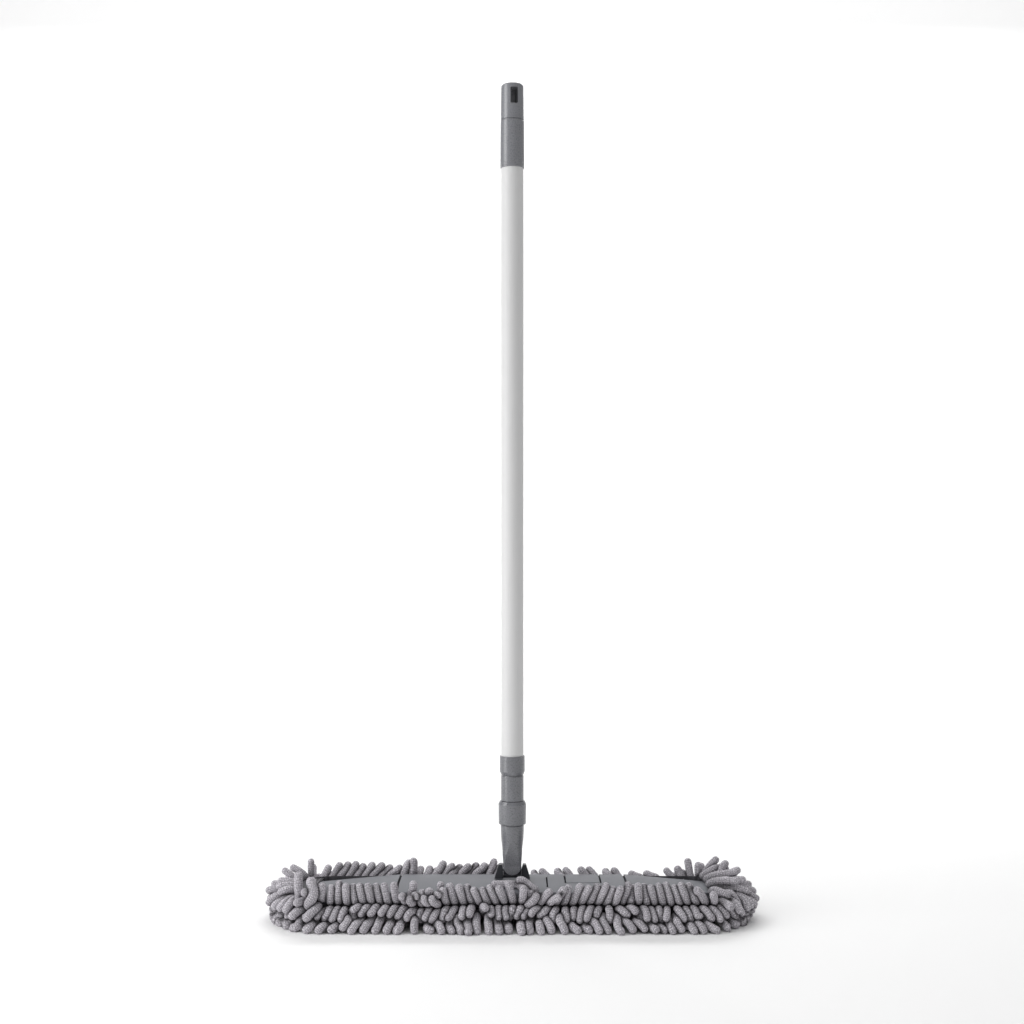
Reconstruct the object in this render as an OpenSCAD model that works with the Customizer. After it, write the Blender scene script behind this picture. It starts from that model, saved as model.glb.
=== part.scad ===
/* [Handle] */
// Outer diameter of the upper tube
tube_d = 28; // [26:0.5:30]
// Wall of both tubes
tube_wall = 1; // [0.8:0.1:1.3]
// Length of the upper tube
tube_len = 803; // [760:1:900]
// Wall of the split collet, which sets the step between the two tubes
collet_wall = 1; // [0.8:0.1:1.3]
// Length of the split collet
collet_len = 18; // [12:1:30]
// Width of the slit in the collet
collet_slit = 2; // [1:0.5:4]
// Length of the lower, sliding tube
inner_len = 610; // [560:1:680]
// Length of the glide bush that stands above the lower tube
bush_head = 12; // [8:1:20]
// Length of the glide bush inside the lower tube
bush_plug = 15; // [10:1:25]
// Wall of the glide bush
bush_wall = 2; // [1.5:0.1:3]
// Length of the hand grip
grip_len = 58.6; // [45:0.1:90]
// Wall of the grip at its upper end
grip_wall = 0.7; // [0.5:0.1:1.5]
// How much the grip swells towards its lower end, each side
grip_flare = 0.3; // [0.2:0.1:1]
// Rounded lower edge of the grip
grip_edge = 0.7; // [0.3:0.1:0.8]
// Number of fine grooves near the grip's lower edge
grip_grooves = 3; // [0:1:4]
// Spacing of the grip's grooves
grip_groove_pitch = 2; // [1.6:0.1:3]
// Depth of a groove in the grip
grip_groove_depth = 0.3; // [0.2:0.05:0.4]
// Height of the hanging cap above the tube
cap_h = 45; // [40:1:60]
// How far the cap stands proud of the tube at its foot
cap_proud = 0.45; // [0.2:0.05:1]
// Rounded top edge of the cap
cap_round = 2.2; // [1.5:0.1:5]
// Length of the cap's plug inside the tube
cap_plug = 22; // [15:1:35]
// Width of the hanging slot
slot_w = 9.3; // [7:0.1:11]
// Height of the hanging slot
slot_h = 20; // [16:0.5:24]
// Depth of the hanging slot
slot_depth = 18; // [12:0.5:20]
// Solid left above the hanging slot
slot_drop = 5.8; // [5:0.1:9]
// Rounded corners of the hanging slot
slot_round = 1.5; // [0.8:0.1:3]
// Height of the shadow groove where two grey pieces meet
shadow_h = 1.2; // [0.6:0.1:1.6]
// Depth of the shadow groove
shadow_depth = 0.8; // [0.4:0.1:1]
// Turn of the cap on its tube, in degrees
cap_turn = 11; // [-30:1:30]

/* [Twist lock and coupling] */
// Height of the twist-lock collar
collar_h = 23.2; // [18:0.1:32]
// Wall of the collar around the tube
collar_wall = 1.6; // [1.2:0.1:3]
// Thickness of the collar's floor
collar_floor = 5.2; // [4:0.1:7]
// Height of the chamfer at the collar's foot
collar_chamfer = 4; // [2:0.1:5]
// Outer diameter of the ferrule on the lower tube
ferrule_d = 28.2; // [27.6:0.1:31]
// Height of the ferrule
ferrule_len = 32; // [24:0.5:45]
// Floor of the ferrule under the lower tube
ferrule_floor = 6; // [4:0.5:9]
// Outer diameter of the coupling ring at its upper edge
ring_d = 34.4; // [34:0.1:38]
// How much narrower the ring is at its lower edge
ring_taper = 0.6; // [0:0.1:1]
// Height of the coupling ring
ring_h = 28.4; // [27:0.1:36]
// Thickness of the ring's upper lip
ring_lip = 4.2; // [3:0.1:5]
// Height of the bevel on the ring's upper edge
ring_bevel = 3.7; // [2:0.1:4]
// Width of the bevel on the ring's upper edge
ring_bevel_w = 1.9; // [1:0.1:2.2]
// Wall of the coupling ring
ring_wall = 1.9; // [1.6:0.1:2.2]
// Diameter of the neck inside the ring
neck_d = 25; // [22:0.5:26]
// Thickness of the flange under the ring's lip
flange_t = 3.6; // [2.5:0.1:5]
// Diameter of the spigot that enters the socket
spigot_d = 19.8; // [16:0.1:21]
// Length of the spigot
spigot_len = 17; // [12:0.5:17]
// Height of a bayonet lug
lug_h = 4; // [3:0.1:5]
// Half of the angle that a bayonet lug spans, in degrees
lug_half_angle = 35; // [20:1:40]
// Diameter of the index dot on the ring
dot_d = 1.8; // [1:0.1:2.5]
// Depth of the index dot
dot_depth = 0.8; // [0.4:0.1:1.2]
// Place of the index dot round the ring, from the front, in degrees
dot_turn = 19; // [0:1:60]

/* [Swivel] */
// Height of the fore-and-aft pin above the frame
yoke_pin_rise = 13; // [12:0.5:16]
// Height of the sideways pin above the fore-and-aft pin
pin_step = 6; // [5.5:0.1:8]
// Height from the sideways pin to the coupling ring
socket_len = 51.3; // [48:0.1:70]
// Diameter of both swivel pins
swivel_pin_d = 4; // [3:0.1:4.4]
// Diameter of the socket under the coupling ring
socket_top_d = 28.7; // [28:0.1:30]
// Diameter of the socket above its fork
socket_low_d = 24.1; // [23:0.1:26]
// Height of the straight band under the coupling ring
socket_band = 6; // [3:0.5:10]
// Height of the flowing taper
socket_taper = 29.5; // [20:0.5:32]
// Width of the fork's rounded tips
tine_w = 21.6; // [19:0.1:21.8]
// How much fuller the fork's corners are than its width
fork_corner = 1.7; // [1:0.1:2]
// Thickness of a fork tine at its pin
tine_t = 3; // [2.4:0.1:4]
// Height of the fork's crotch above the sideways pin
crotch_rise = 18.5; // [17:0.5:22]
// Skin left in front of the sideways pin
pin_skin = 1; // [0.6:0.1:1.4]
// Thickness of the knuckle, front to back
knuckle_t = 13; // [11:0.1:14]
// Width of the knuckle, side to side
knuckle_w = 22.4; // [21:0.1:24]
// Height of the knuckle's shoulders above the sideways pin
shoulder_rise = 6; // [4:0.5:8]
// Radius of the knuckle's rounded crown
knuckle_crown = 9; // [7:0.5:9.5]
// Rounded shoulder of the knuckle
shoulder_round = 3; // [1:0.5:4]
// Thickness of the yoke's ears, front to back
ear_t = 8.4; // [7:0.1:8.6]
// Height of the ears above the fore-and-aft pin
ear_rise = 7; // [6:0.5:8]
// Thickness of an ear at its top
ear_top_t = 3.8; // [2.5:0.1:5]
// How far the ear's inner face leans out at its top
ear_lean = 1.7; // [0:0.1:3]
// Height of the leaning part of the ear
ear_lean_h = 6; // [3:0.5:6]
// Width of the yoke's flange
flange_w = 44; // [42:1:60]
// Depth of the yoke's flange
flange_d = 40; // [36:1:56]
// Thickness of the yoke's flange
yoke_flange_t = 3; // [2.5:0.1:4]
// Rounded corner of the yoke's flange
flange_round = 6; // [3:0.5:8]
// Depth of the window that the fork swings through
window_d = 28; // [24:1:32]
// Diameter of a yoke screw
screw_d = 4; // [3:0.1:5]
// Diameter of a yoke screw's head
screw_head_d = 7.5; // [6:0.1:8]
// Height of a yoke screw's head
screw_head_h = 2.4; // [2:0.1:3]
// Distance of a yoke screw from the flange's edges
screw_inset = 5.5; // [5:0.1:7]

/* [Folding frame] */
// Distance of each fold line from the middle
hinge_x = 140; // [130:1:150]
// Depth of the frame, front to back
frame_d = 95; // [88:1:98]
// Height of the frame at the middle of its crown
plate_h = 19.7; // [18:0.1:22]
// Radius of the crowned top
crown_r = 300; // [240:5:500]
// Thickness of the top skin
skin = 3; // [2:0.1:4]
// Thickness of the skirt round the frame
skirt = 2.6; // [2:0.1:4]
// Thickness of a rib under the skin
rib = 2; // [1.5:0.1:3]
// Number of ribbed bays under the centre plate
bays = 8; // [6:1:10]
// Bevel along the frame's long edges
edge_bevel = 2; // [1:0.1:3]
// Open seam at a fold line
seam = 3; // [2:0.1:4]
// Distance of the slit beside the yoke from the middle
slit_x = 42.8; // [38:0.1:50]
// Width of the slit
slit_w = 1.8; // [1:0.1:3]
// Length of the slit
slit_len = 48; // [30:1:60]
// How far the slit's middle lies ahead of the frame's middle
slit_ahead = 6; // [0:0.5:10]
// Radius of the hinge barrels
barrel_r = 5.5; // [4.5:0.1:5.6]
// Height of the hinge pin above the frame's underside
hinge_rise = 5.7; // [5.6:0.1:6.5]
// Diameter of a hinge pin
hinge_pin_d = 5; // [4:0.1:6]
// Length of a hinge pin
hinge_pin_len = 84; // [70:1:86]
// Number of barrels on a hinge line
barrels = 5; // [3:2:7]
// Length of a wing beyond its seam
wing_len = 124.5; // [110:0.5:128]
// Width of a wing at its tip
wing_tip_w = 48; // [36:1:56]
// Radius of the wing's rounded tip
wing_tip_r = 30; // [24:1:36]
// How far a wing's top falls towards its tip
wing_fall = 9; // [4:0.5:10]

/* [Release pedal] */
// Left edge of the pedal's well
well_x = 64.4; // [60:0.1:70]
// Width of the pedal's well
well_w = 45.6; // [40:0.1:48]
// Front edge of the pedal's well, ahead of the middle
well_front = 14; // [8:0.5:20]
// Floor of the pedal's well
well_floor = 2; // [1.5:0.1:3]
// Gap round the pedal
pedal_gap = 2.2; // [1.2:0.1:3]
// Thickness of the pedal
pedal_t = 2.5; // [2:0.1:3]
// Distance of the pedal's pin from its left edge
pedal_pin_inset = 4; // [4:0.1:6]
// Height of the pedal's pin above the frame's underside
pedal_pin_rise = 9.7; // [9:0.1:11]
// Diameter of the pedal's pin
pedal_pin_d = 3; // [2.5:0.1:3.5]
// Radius of the pedal's barrel
pedal_barrel_r = 3.6; // [3:0.1:4]
// Length of a lug that holds the pedal's pin
pedal_lug = 4; // [3:0.5:6]
// Height of the pedal's latch hook
hook_h = 5; // [3:0.5:6]
// Thickness of the pedal's latch hook
hook_t = 2.4; // [2:0.1:4]
// Width of the leaf spring
leaf_w = 10; // [6:0.5:16]
// Thickness of the leaf spring
leaf_t = 0.8; // [0.5:0.1:1.2]
// Length of the leaf spring's foot
leaf_foot = 12; // [8:0.5:14]

/* [Cover] */
// Height of the pile under the backing
pile_h = 22; // [18:0.5:26]
// Thickness of the backing
backing_t = 3; // [2:0.1:4]
// Room between the frame's long edges and the cover's rim
rim_room = 4.5; // [3:0.1:8]
// Room between a wing's tip and the cover's rim
end_room = 9; // [6:0.5:16]
// Half width of the strip that bends at a fold line
strip_half = 25; // [22:1:30]
// Thickness of the band that carries the fringe
band_t = 3; // [2:0.1:5]
// Height of the band's lower edge above the floor
band_z = 14; // [13:0.5:17]
// Height of one row of the fringe on the band
row_h = 8.5; // [8:0.1:9.5]
// How far the end pocket reaches in over the wing's tip
pocket_depth = 26; // [18:1:40]
// Thickness of the end pocket's fabric
pocket_t = 2; // [1:0.1:3]

/* [Noodles] */
// Width of a noodle
noodle_w = 8.8; // [7:0.1:9]
// Gap between neighbouring noodles of a row
noodle_gap = 3.3; // [2.5:0.1:5]
// Length of an upper noodle
upper_len = 27; // [20:0.5:28]
// Length of a middle noodle
middle_len = 23; // [18:0.5:26]
// Length of a lower noodle
lower_len = 21.5; // [17:0.5:21.5]
// Rise of an upper noodle, in degrees
upper_rise_angle = 63; // [50:1:75]
// Fall of a middle noodle at its root, in degrees
middle_fall_angle = 8; // [0:1:15]
// Further droop of a middle noodle at its tip, in degrees
middle_droop_angle = 24; // [0:1:30]
// Fall of a lower noodle, in degrees
lower_fall_angle = 52; // [45:1:55]
// Width of a noodle's root under the backing
stud_w = 24; // [22:1:30]

/* [Hidden] */

$fn = 96;
// Steps of the flowing taper
taper_steps = 10;
// Overrun of every cut
over = 1;
// Radial gap of a running fit
run_gap = 0.05;
// Radial gap of a pressed or glued fit
fit_gap = 0.02;
// Gap between pieces that pass each other
clear_gap = 0.3;
// Small broken edge on moulded parts
break_edge = 0.4;

// Radii of the handle's pieces
tube_r = tube_d / 2;
tube_bore_r = tube_r - tube_wall;
inner_r = tube_bore_r - collet_wall;
inner_bore_r = inner_r - tube_wall;
collar_r = tube_r + collar_wall;
ferrule_r = ferrule_d / 2;
ring_r = ring_d / 2;
ring_bore_r = ring_r - ring_wall;
flange_r = ring_bore_r - clear_gap;
neck_r = neck_d / 2;
spigot_r = spigot_d / 2;
// Half width of a grip groove's mouth, as a share of the grooves' spacing
mouth_share = 0.22;
// Radius of the spigot's stub in the ferrule, as a share of the spigot's
stub_share = 0.8;
stub_r = spigot_r * stub_share;
socket_top_r = socket_top_d / 2;
socket_low_r = socket_low_d / 2;
// How far a bayonet lug stands out of the socket's neck
lug_reach = 1.3;
socket_neck_r = flange_r - lug_reach;
swivel_pin_r = swivel_pin_d / 2;

// Heights above the floor, from the pile upwards
frame_z = pile_h + backing_t + clear_gap;
plate_z = frame_z + plate_h;
yoke_pin_z = plate_z + yoke_pin_rise;
fork_pin_z = yoke_pin_z + pin_step;
ring_z = fork_pin_z + socket_len;
ring_top = ring_z + ring_h;
lip_z = ring_top - ring_lip;
flange_top = lip_z - clear_gap;
flange_z = flange_top - flange_t;
ferrule_z = ring_top + clear_gap;
ferrule_top = ferrule_z + ferrule_len;
collar_z = ferrule_top + clear_gap;
collar_top = collar_z + collar_h;
tube_z = collar_z + collar_floor + clear_gap;
tube_top = tube_z + tube_len;
cap_top = tube_top + cap_h;
inner_z = ferrule_z + ferrule_floor;
inner_top = inner_z + inner_len;

// Places on the swivel
knuckle_half = knuckle_t / 2;
tine_in = knuckle_half + clear_gap;
tine_out = tine_in + tine_t;
ear_x = knuckle_w / 2 + clear_gap;
crotch_z = fork_pin_z + crotch_rise;
flange_top_z = plate_z + yoke_flange_t;

// Places on the folding frame
frame_half = frame_d / 2;
plate_half = hinge_x - seam / 2;
hinge_z = frame_z + hinge_rise;
hinge_pin_r = hinge_pin_d / 2;
hinge_wall_x = hinge_x - barrel_r - seam;
wing_x = hinge_x + seam / 2;
wing_end = wing_x + wing_len;
wing_angle = atan(wing_fall / wing_len);
well_x1 = well_x + well_w;
pedal_x = well_x + pedal_gap;
pedal_x1 = well_x1 - pedal_gap;
pedal_front = pedal_gap - well_front;
pedal_pin_x = pedal_x + pedal_pin_inset;
pedal_pin_z = frame_z + pedal_pin_rise;
pedal_pin_r = pedal_pin_d / 2;
well_floor_z = frame_z + well_floor;
pedal_lug_y = frame_half - skirt - pedal_lug;

// Places on the cover
backing_half = frame_half + rim_room;
backing_top = pile_h + backing_t;
end_x = wing_end + end_room - backing_half;
strip_x0 = hinge_x - strip_half;
strip_x1 = hinge_x + strip_half;
pocket_x = wing_end - pocket_depth;
noodle_pitch = noodle_w + noodle_gap;
rows = 3;
band_top = band_z + rows * row_h;
noodle_half = noodle_w / 2;
// Swing of a noodle to either side and up and down, in degrees
sway_deg = 2.5;
lift_deg = 3;
// Where a noodle's two rings stand along it, and how wide they are, as shares
ring_at_shares = [0.42, 0.84];
ring_width_shares = [1, 0.86];
// How far a noodle under the backing narrows towards the floor
stud_share = 0.62;
// Where the backing of an end stops, as a share of the end curve's radius
end_share = 0.92;

// Colours of the pieces
tube_colour = "#d2d4d8";
grey_colour = "#86878c";
dark_colour = "#2b2d30";
plate_colour = "#949599";
steel_colour = "#b9bcc0";
alloy_colour = "#c4c7cb";
noodle_colour = "#96929a";
fabric_colour = "#85838a";

// Shared shapes

// Tube with true inner and outer walls
module pipe(r_out, r_in, z0, z1) {
    translate([0, 0, z0]) difference() {
        cylinder(r = r_out, h = z1 - z0);
        translate([0, 0, -over]) cylinder(r = r_in, h = z1 - z0 + over + over);
    }
}

// Round bar along X, centred on the middle plane
module bar_x(r, length) {
    rotate([0, 90, 0]) cylinder(r = r, h = length, center = true);
}

// Round bar along Y from one place to another
module bar_y(r, y0, y1) {
    translate([0, y0, 0]) rotate([-90, 0, 0]) cylinder(r = r, h = y1 - y0);
}

// Extrudes a front-view outline (x, z) from one depth to another
module front_prism(y0, y1) {
    translate([0, y1, 0]) rotate([90, 0, 0]) linear_extrude(height = y1 - y0) children();
}

// Extrudes a side-view outline (y, z) from one place along X to another
module side_prism(x0, x1) {
    translate([x0, 0, 0]) rotate([90, 0, 90]) linear_extrude(height = x1 - x0) children();
}

// Box between two corners
module block(a, b) {
    translate(a) cube(b - a);
}

// Rectangle with rounded corners, centred
module rounded_plan(w, d, r) {
    run_w = w - r - r;
    run_d = d - r - r;
    square([w, run_d], center = true);
    square([run_w, d], center = true);
    for (side_x = [-1, 1]) {
        for (side_y = [-1, 1]) {
            translate([side_x * run_w / 2, side_y * run_d / 2]) circle(r = r);
        }
    }
}

// Two opposed sectors of a ring, for the bayonet lugs
module lug_pair(r_in, r_out, z0, z1) {
    reach = r_out + over;
    spread = reach * tan(lug_half_angle);
    intersection() {
        pipe(r_out, r_in, z0, z1);
        for (side = [0, 180]) {
            rotate([0, 0, side]) translate([0, 0, z0 - over]) linear_extrude(height = z1 - z0 + over + over)
                polygon([[0, 0], [reach, -spread], [reach, spread]]);
        }
    }
}

// Handle

// Hanging cap: tapered head with a rounded top, a blind slot and a plug for the tube
module hang_cap() color(grey_colour) {
    foot_r = tube_r + cap_proud;
    foot_z = tube_top + shadow_h;
    head_z = cap_top - cap_round;
    slot_z = cap_top - slot_drop - slot_h / 2;
    rotate([0, 0, cap_turn]) difference() {
        rotate_extrude() {
            polygon([
                [0, tube_top - cap_plug], [tube_bore_r - fit_gap, tube_top - cap_plug],
                [tube_bore_r - fit_gap, tube_top], [foot_r - shadow_depth, tube_top],
                [foot_r - shadow_depth, foot_z], [foot_r, foot_z], [tube_r, head_z], [0, head_z]
            ]);
            translate([0, head_z]) square([tube_r - cap_round, cap_round]);
            intersection() {
                translate([tube_r - cap_round, head_z]) circle(r = cap_round);
                translate([tube_r - cap_round, head_z]) square(cap_round);
            }
        }
        translate([0, 0, slot_z]) front_prism(-foot_r - over, slot_depth - foot_r)
            rounded_plan(slot_w, slot_h, slot_round);
    }
}

// Hand grip: a thin sleeve that swells a little towards its lower edge, with fine grooves there
module grip() color(grey_colour) {
    bore_r = tube_r + fit_gap;
    top_r = tube_r + grip_wall;
    foot_r = top_r + grip_flare;
    foot_z = tube_top - grip_len;
    edge_z = foot_z + grip_edge;
    slope = (top_r - foot_r) / (tube_top - break_edge - edge_z);
    mouth = grip_groove_pitch * mouth_share;
    rotate_extrude() polygon(concat(
        [[bore_r, foot_z], [foot_r - grip_edge, foot_z], [foot_r, edge_z]],
        [for (i = [1 : grip_grooves], k = [-1, 0, 1])
            let (rise = i * grip_groove_pitch + k * mouth)
                [foot_r + slope * rise - (1 - abs(k)) * grip_groove_depth, edge_z + rise]],
        [[top_r, tube_top - break_edge], [top_r - break_edge, tube_top], [bore_r, tube_top]]
    ));
}

// Upper tube
module outer_tube() color(tube_colour) {
    pipe(tube_r, tube_bore_r, tube_z, tube_top);
}

// Twist-lock collar round the foot of the upper tube
module lock_collar() color(grey_colour) {
    bore_r = tube_r + run_gap;
    throat_r = inner_r + clear_gap;
    rotate_extrude() polygon([
        [throat_r, collar_z], [collar_r - collar_wall, collar_z], [collar_r, collar_z + collar_chamfer],
        [collar_r, collar_top - break_edge], [collar_r - break_edge, collar_top],
        [bore_r, collar_top], [bore_r, collar_z + collar_floor], [throat_r, collar_z + collar_floor]
    ]);
}

// Split collet that the collar squeezes onto the lower tube
module collet() color(dark_colour) {
    difference() {
        pipe(tube_bore_r - fit_gap, inner_r + run_gap, tube_z, tube_z + collet_len);
        block([0, -collet_slit / 2, tube_z - over], [tube_r, collet_slit / 2, tube_z + collet_len + over]);
    }
}

// Lower tube, which slides inside the upper one
module inner_tube() color(alloy_colour) {
    pipe(inner_r, inner_bore_r, inner_z, inner_top);
}

// Glide bush on the lower tube's upper end
module glide_bush() color(dark_colour) {
    plug_r = inner_bore_r - fit_gap;
    head_r = tube_bore_r - run_gap;
    bore_r = plug_r - bush_wall;
    rotate_extrude() polygon([
        [bore_r, inner_top - bush_plug], [plug_r, inner_top - bush_plug], [plug_r, inner_top],
        [head_r, inner_top], [head_r, inner_top + bush_head - break_edge],
        [head_r - break_edge, inner_top + bush_head], [bore_r, inner_top + bush_head]
    ]);
}

// Ferrule glued on the lower tube's foot
module tube_ferrule() color(grey_colour) {
    bore_r = inner_r + fit_gap;
    rotate_extrude() polygon([
        [stub_r + fit_gap, ferrule_z], [ferrule_r - break_edge, ferrule_z],
        [ferrule_r, ferrule_z + break_edge], [ferrule_r, ferrule_top - shadow_h],
        [ferrule_r - shadow_depth, ferrule_top - shadow_h], [ferrule_r - shadow_depth, ferrule_top],
        [bore_r, ferrule_top], [bore_r, inner_z], [stub_r + fit_gap, inner_z]
    ]);
}

// Spigot with the flange that the coupling ring draws down
module coupling_spigot() color(dark_colour) {
    rotate_extrude() polygon([
        [0, flange_z - spigot_len], [spigot_r - break_edge, flange_z - spigot_len],
        [spigot_r, flange_z - spigot_len + break_edge], [spigot_r, flange_z], [flange_r, flange_z],
        [flange_r, flange_top], [neck_r, flange_top], [neck_r, ferrule_z],
        [stub_r, ferrule_z], [stub_r, inner_z], [0, inner_z]
    ]);
}

// Quarter-turn coupling ring with its lip, two inner lugs and an index dot
module coupling_ring() color(grey_colour) {
    foot_r = ring_r - ring_taper / 2;
    bevel_z = ring_top - ring_bevel;
    lug_z = ring_z + lug_h / 2;
    difference() {
        union() {
            rotate_extrude() polygon([
                [ring_bore_r, ring_z], [foot_r - break_edge, ring_z], [foot_r, ring_z + break_edge],
                [ring_r, bevel_z], [ring_r - ring_bevel_w, ring_top], [neck_r + run_gap, ring_top],
                [neck_r + run_gap, lip_z], [ring_bore_r, lip_z]
            ]);
            lug_pair(socket_neck_r + clear_gap, ring_bore_r + over / 2, lug_z, lug_z + lug_h);
        }
        rotate([0, 0, -dot_turn]) translate([0, -ring_r + ring_bevel_w / 2, ring_top - ring_bevel / 2])
            rotate([90 - atan(ring_bevel_w / ring_bevel), 0, 0])
                translate([0, 0, -dot_depth]) cylinder(d = dot_d, h = dot_depth + over);
    }
}

// Swivel

// Radius of the socket at a height, flowing from its upper band to its fork
function socket_r(t) = socket_low_r + (socket_top_r - socket_low_r) * (3 - t - t) * t * t;
// Radius of the fork's corners at a share t of its taper, which fade into the round top
function corner_r(t) = socket_r(t) + fork_corner * (1 - t) * (1 - t);
// Half width of the fork's flat sides at a share t of its taper, which leave the round top free
function fork_x(t) = socket_r(t) + over * t * t;

// Socket: a flowing taper that ends in a flat-faced fork
module swivel_socket() color(grey_colour) {
    top_z = ring_z - clear_gap;
    taper_top = top_z - socket_band;
    taper_z = taper_top - socket_taper;
    rim_z = flange_z - clear_gap;
    foot_z = fork_pin_z - tine_w;
    lug_z = ring_z + lug_h / 2 + lug_h + clear_gap;
    facet_slope = (socket_low_r - tine_out) / crotch_rise;
    facet_top = tine_out + facet_slope * (top_z - fork_pin_z);
    difference() {
        union() {
            intersection() {
                rotate_extrude() polygon(concat(
                    [[0, foot_z], [corner_r(0), foot_z]],
                    [for (i = [0 : taper_steps])
                        [corner_r(i / taper_steps), taper_z + socket_taper * i / taper_steps]],
                    [
                        [socket_top_r, top_z - shadow_h], [socket_top_r - shadow_depth, top_z - shadow_h],
                        [socket_top_r - shadow_depth, top_z], [0, top_z]
                    ]
                ));
                side_prism(-socket_top_r - over, socket_top_r + over) polygon([
                    [-tine_out, foot_z - over], [tine_out, foot_z - over], [tine_out, fork_pin_z],
                    [facet_top, top_z], [facet_top, top_z + over], [-facet_top, top_z + over],
                    [-facet_top, top_z], [-tine_out, fork_pin_z]
                ]);
                front_prism(-socket_top_r - over, socket_top_r + over) {
                    translate([0, fork_pin_z]) circle(d = tine_w);
                    polygon(concat(
                        [[-tine_w / 2, fork_pin_z], [tine_w / 2, fork_pin_z]],
                        [for (i = [0 : taper_steps])
                            [fork_x(i / taper_steps), taper_z + socket_taper * i / taper_steps]],
                        [[socket_top_r + over, top_z + over], [-socket_top_r - over, top_z + over]],
                        [for (i = [taper_steps : -1 : 0])
                            [-fork_x(i / taper_steps), taper_z + socket_taper * i / taper_steps]]
                    ));
                }
            }
            pipe(socket_neck_r, spigot_r + fit_gap, top_z, rim_z);
            lug_pair(socket_neck_r - over / 2, flange_r, lug_z, lug_z + lug_h);
        }
        translate([0, 0, flange_z - spigot_len - clear_gap])
            cylinder(r = spigot_r + fit_gap, h = spigot_len + ring_h);
        block([-tine_w, -tine_in, foot_z - over], [tine_w, tine_in, crotch_z - tine_in]);
        translate([0, 0, crotch_z - tine_in]) bar_x(tine_in, tine_w + tine_w);
        translate([0, 0, fork_pin_z]) bar_y(swivel_pin_r + run_gap, pin_skin - tine_out, tine_out + over);
    }
}

// Sideways pin through the fork and the knuckle, blind at the front
module fork_pin() color(steel_colour) {
    translate([0, 0, fork_pin_z]) bar_y(swivel_pin_r, pin_skin - tine_out + clear_gap, tine_out - clear_gap);
}

// Knuckle block that carries both swivel pins
module knuckle() color(dark_colour) {
    foot_z = yoke_pin_z - knuckle_half;
    shoulder_z = fork_pin_z + shoulder_rise;
    half_w = knuckle_w / 2;
    difference() {
        intersection() {
            front_prism(-knuckle_half, knuckle_half) {
                translate([-half_w, foot_z]) square([knuckle_w, shoulder_z - shoulder_round - foot_z]);
                translate([shoulder_round - half_w, foot_z])
                    square([knuckle_w - shoulder_round - shoulder_round, shoulder_z - foot_z]);
                for (side = [-1, 1]) {
                    translate([side * (half_w - shoulder_round), shoulder_z - shoulder_round])
                        circle(r = shoulder_round);
                }
                translate([0, fork_pin_z]) circle(r = knuckle_crown);
            }
            side_prism(-half_w - over, half_w + over) {
                translate([0, yoke_pin_z]) circle(r = knuckle_half);
                translate([-knuckle_half, yoke_pin_z]) square([knuckle_t, pin_step + knuckle_crown + over]);
            }
        }
        translate([0, 0, yoke_pin_z]) bar_x(swivel_pin_r + run_gap, knuckle_w + over + over);
        translate([0, 0, fork_pin_z]) bar_y(swivel_pin_r + fit_gap, -knuckle_t, knuckle_t);
    }
}

// Distance from the middle to the end of the fore-and-aft pin
function yoke_pin_reach() = ear_x + ear_lean + ear_top_t;

// Fore-and-aft pin through the yoke's ears
module yoke_pin() color(steel_colour) {
    translate([0, 0, yoke_pin_z]) bar_x(swivel_pin_r, yoke_pin_reach() + yoke_pin_reach());
}

// Plan of the yoke's flange, with rounded corners
module flange_plan() {
    rounded_plan(flange_w, flange_d, flange_round);
}

// Places the children at the four yoke screws
module at_screws() {
    for (side_x = [-1, 1]) {
        for (side_y = [-1, 1]) {
            translate([side_x * (flange_w / 2 - screw_inset), side_y * (flange_d / 2 - screw_inset), 0])
                children();
        }
    }
}

// Yoke: a flange with two leaning ears and a window for the fork
module yoke_base() color(dark_colour) {
    ear_top = yoke_pin_z + ear_rise;
    top_in = ear_x + ear_lean;
    top_out = top_in + ear_top_t;
    difference() {
        union() {
            translate([0, 0, plate_z]) linear_extrude(height = yoke_flange_t) flange_plan();
            for (side = [0, 1]) {
                mirror([side, 0, 0]) front_prism(-ear_t / 2, ear_t / 2) polygon([
                    [ear_x, plate_z], [flange_w / 2, plate_z], [flange_w / 2, flange_top_z],
                    [top_out, ear_top - break_edge], [top_out - break_edge, ear_top], [top_in, ear_top],
                    [ear_x, ear_top - ear_lean_h]
                ]);
            }
        }
        block([-ear_x, -window_d / 2, plate_z - over], [ear_x, window_d / 2, flange_top_z + over]);
        translate([0, 0, yoke_pin_z]) bar_x(swivel_pin_r + fit_gap, flange_w + over);
        at_screws() translate([0, 0, plate_z - over])
            cylinder(r = screw_d / 2 + fit_gap, h = yoke_flange_t + over + over);
    }
}

// Four screws from the frame's underside into the yoke
module yoke_screws() color(steel_colour) {
    seat_z = plate_z - skin - skin;
    at_screws() {
        translate([0, 0, seat_z]) cylinder(d = screw_d, h = flange_top_z - seat_z);
        translate([0, 0, seat_z - screw_head_h]) cylinder(d = screw_head_d, h = screw_head_h);
    }
}

// Folding frame

// Crowned side-view outline of the frame, drawn in by a wall and lowered by a skin
module crown_outline(wall, drop) {
    half = frame_half - wall;
    edge_z = plate_z - drop - frame_half * frame_half / (crown_r + crown_r);
    intersection() {
        translate([0, plate_z - crown_r]) circle(r = crown_r - drop, $fn = 720);
        polygon([
            [-half, frame_z - abs(wall)], [half, frame_z - abs(wall)],
            [half, edge_z - edge_bevel], [half - edge_bevel, plate_z + over],
            [edge_bevel - half, plate_z + over], [-half, edge_z - edge_bevel]
        ]);
    }
}

// Length of one hinge barrel and its place along the pin
barrel_len = hinge_pin_len / barrels;
function barrel_y(i) = i * barrel_len - hinge_pin_len / 2;

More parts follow.
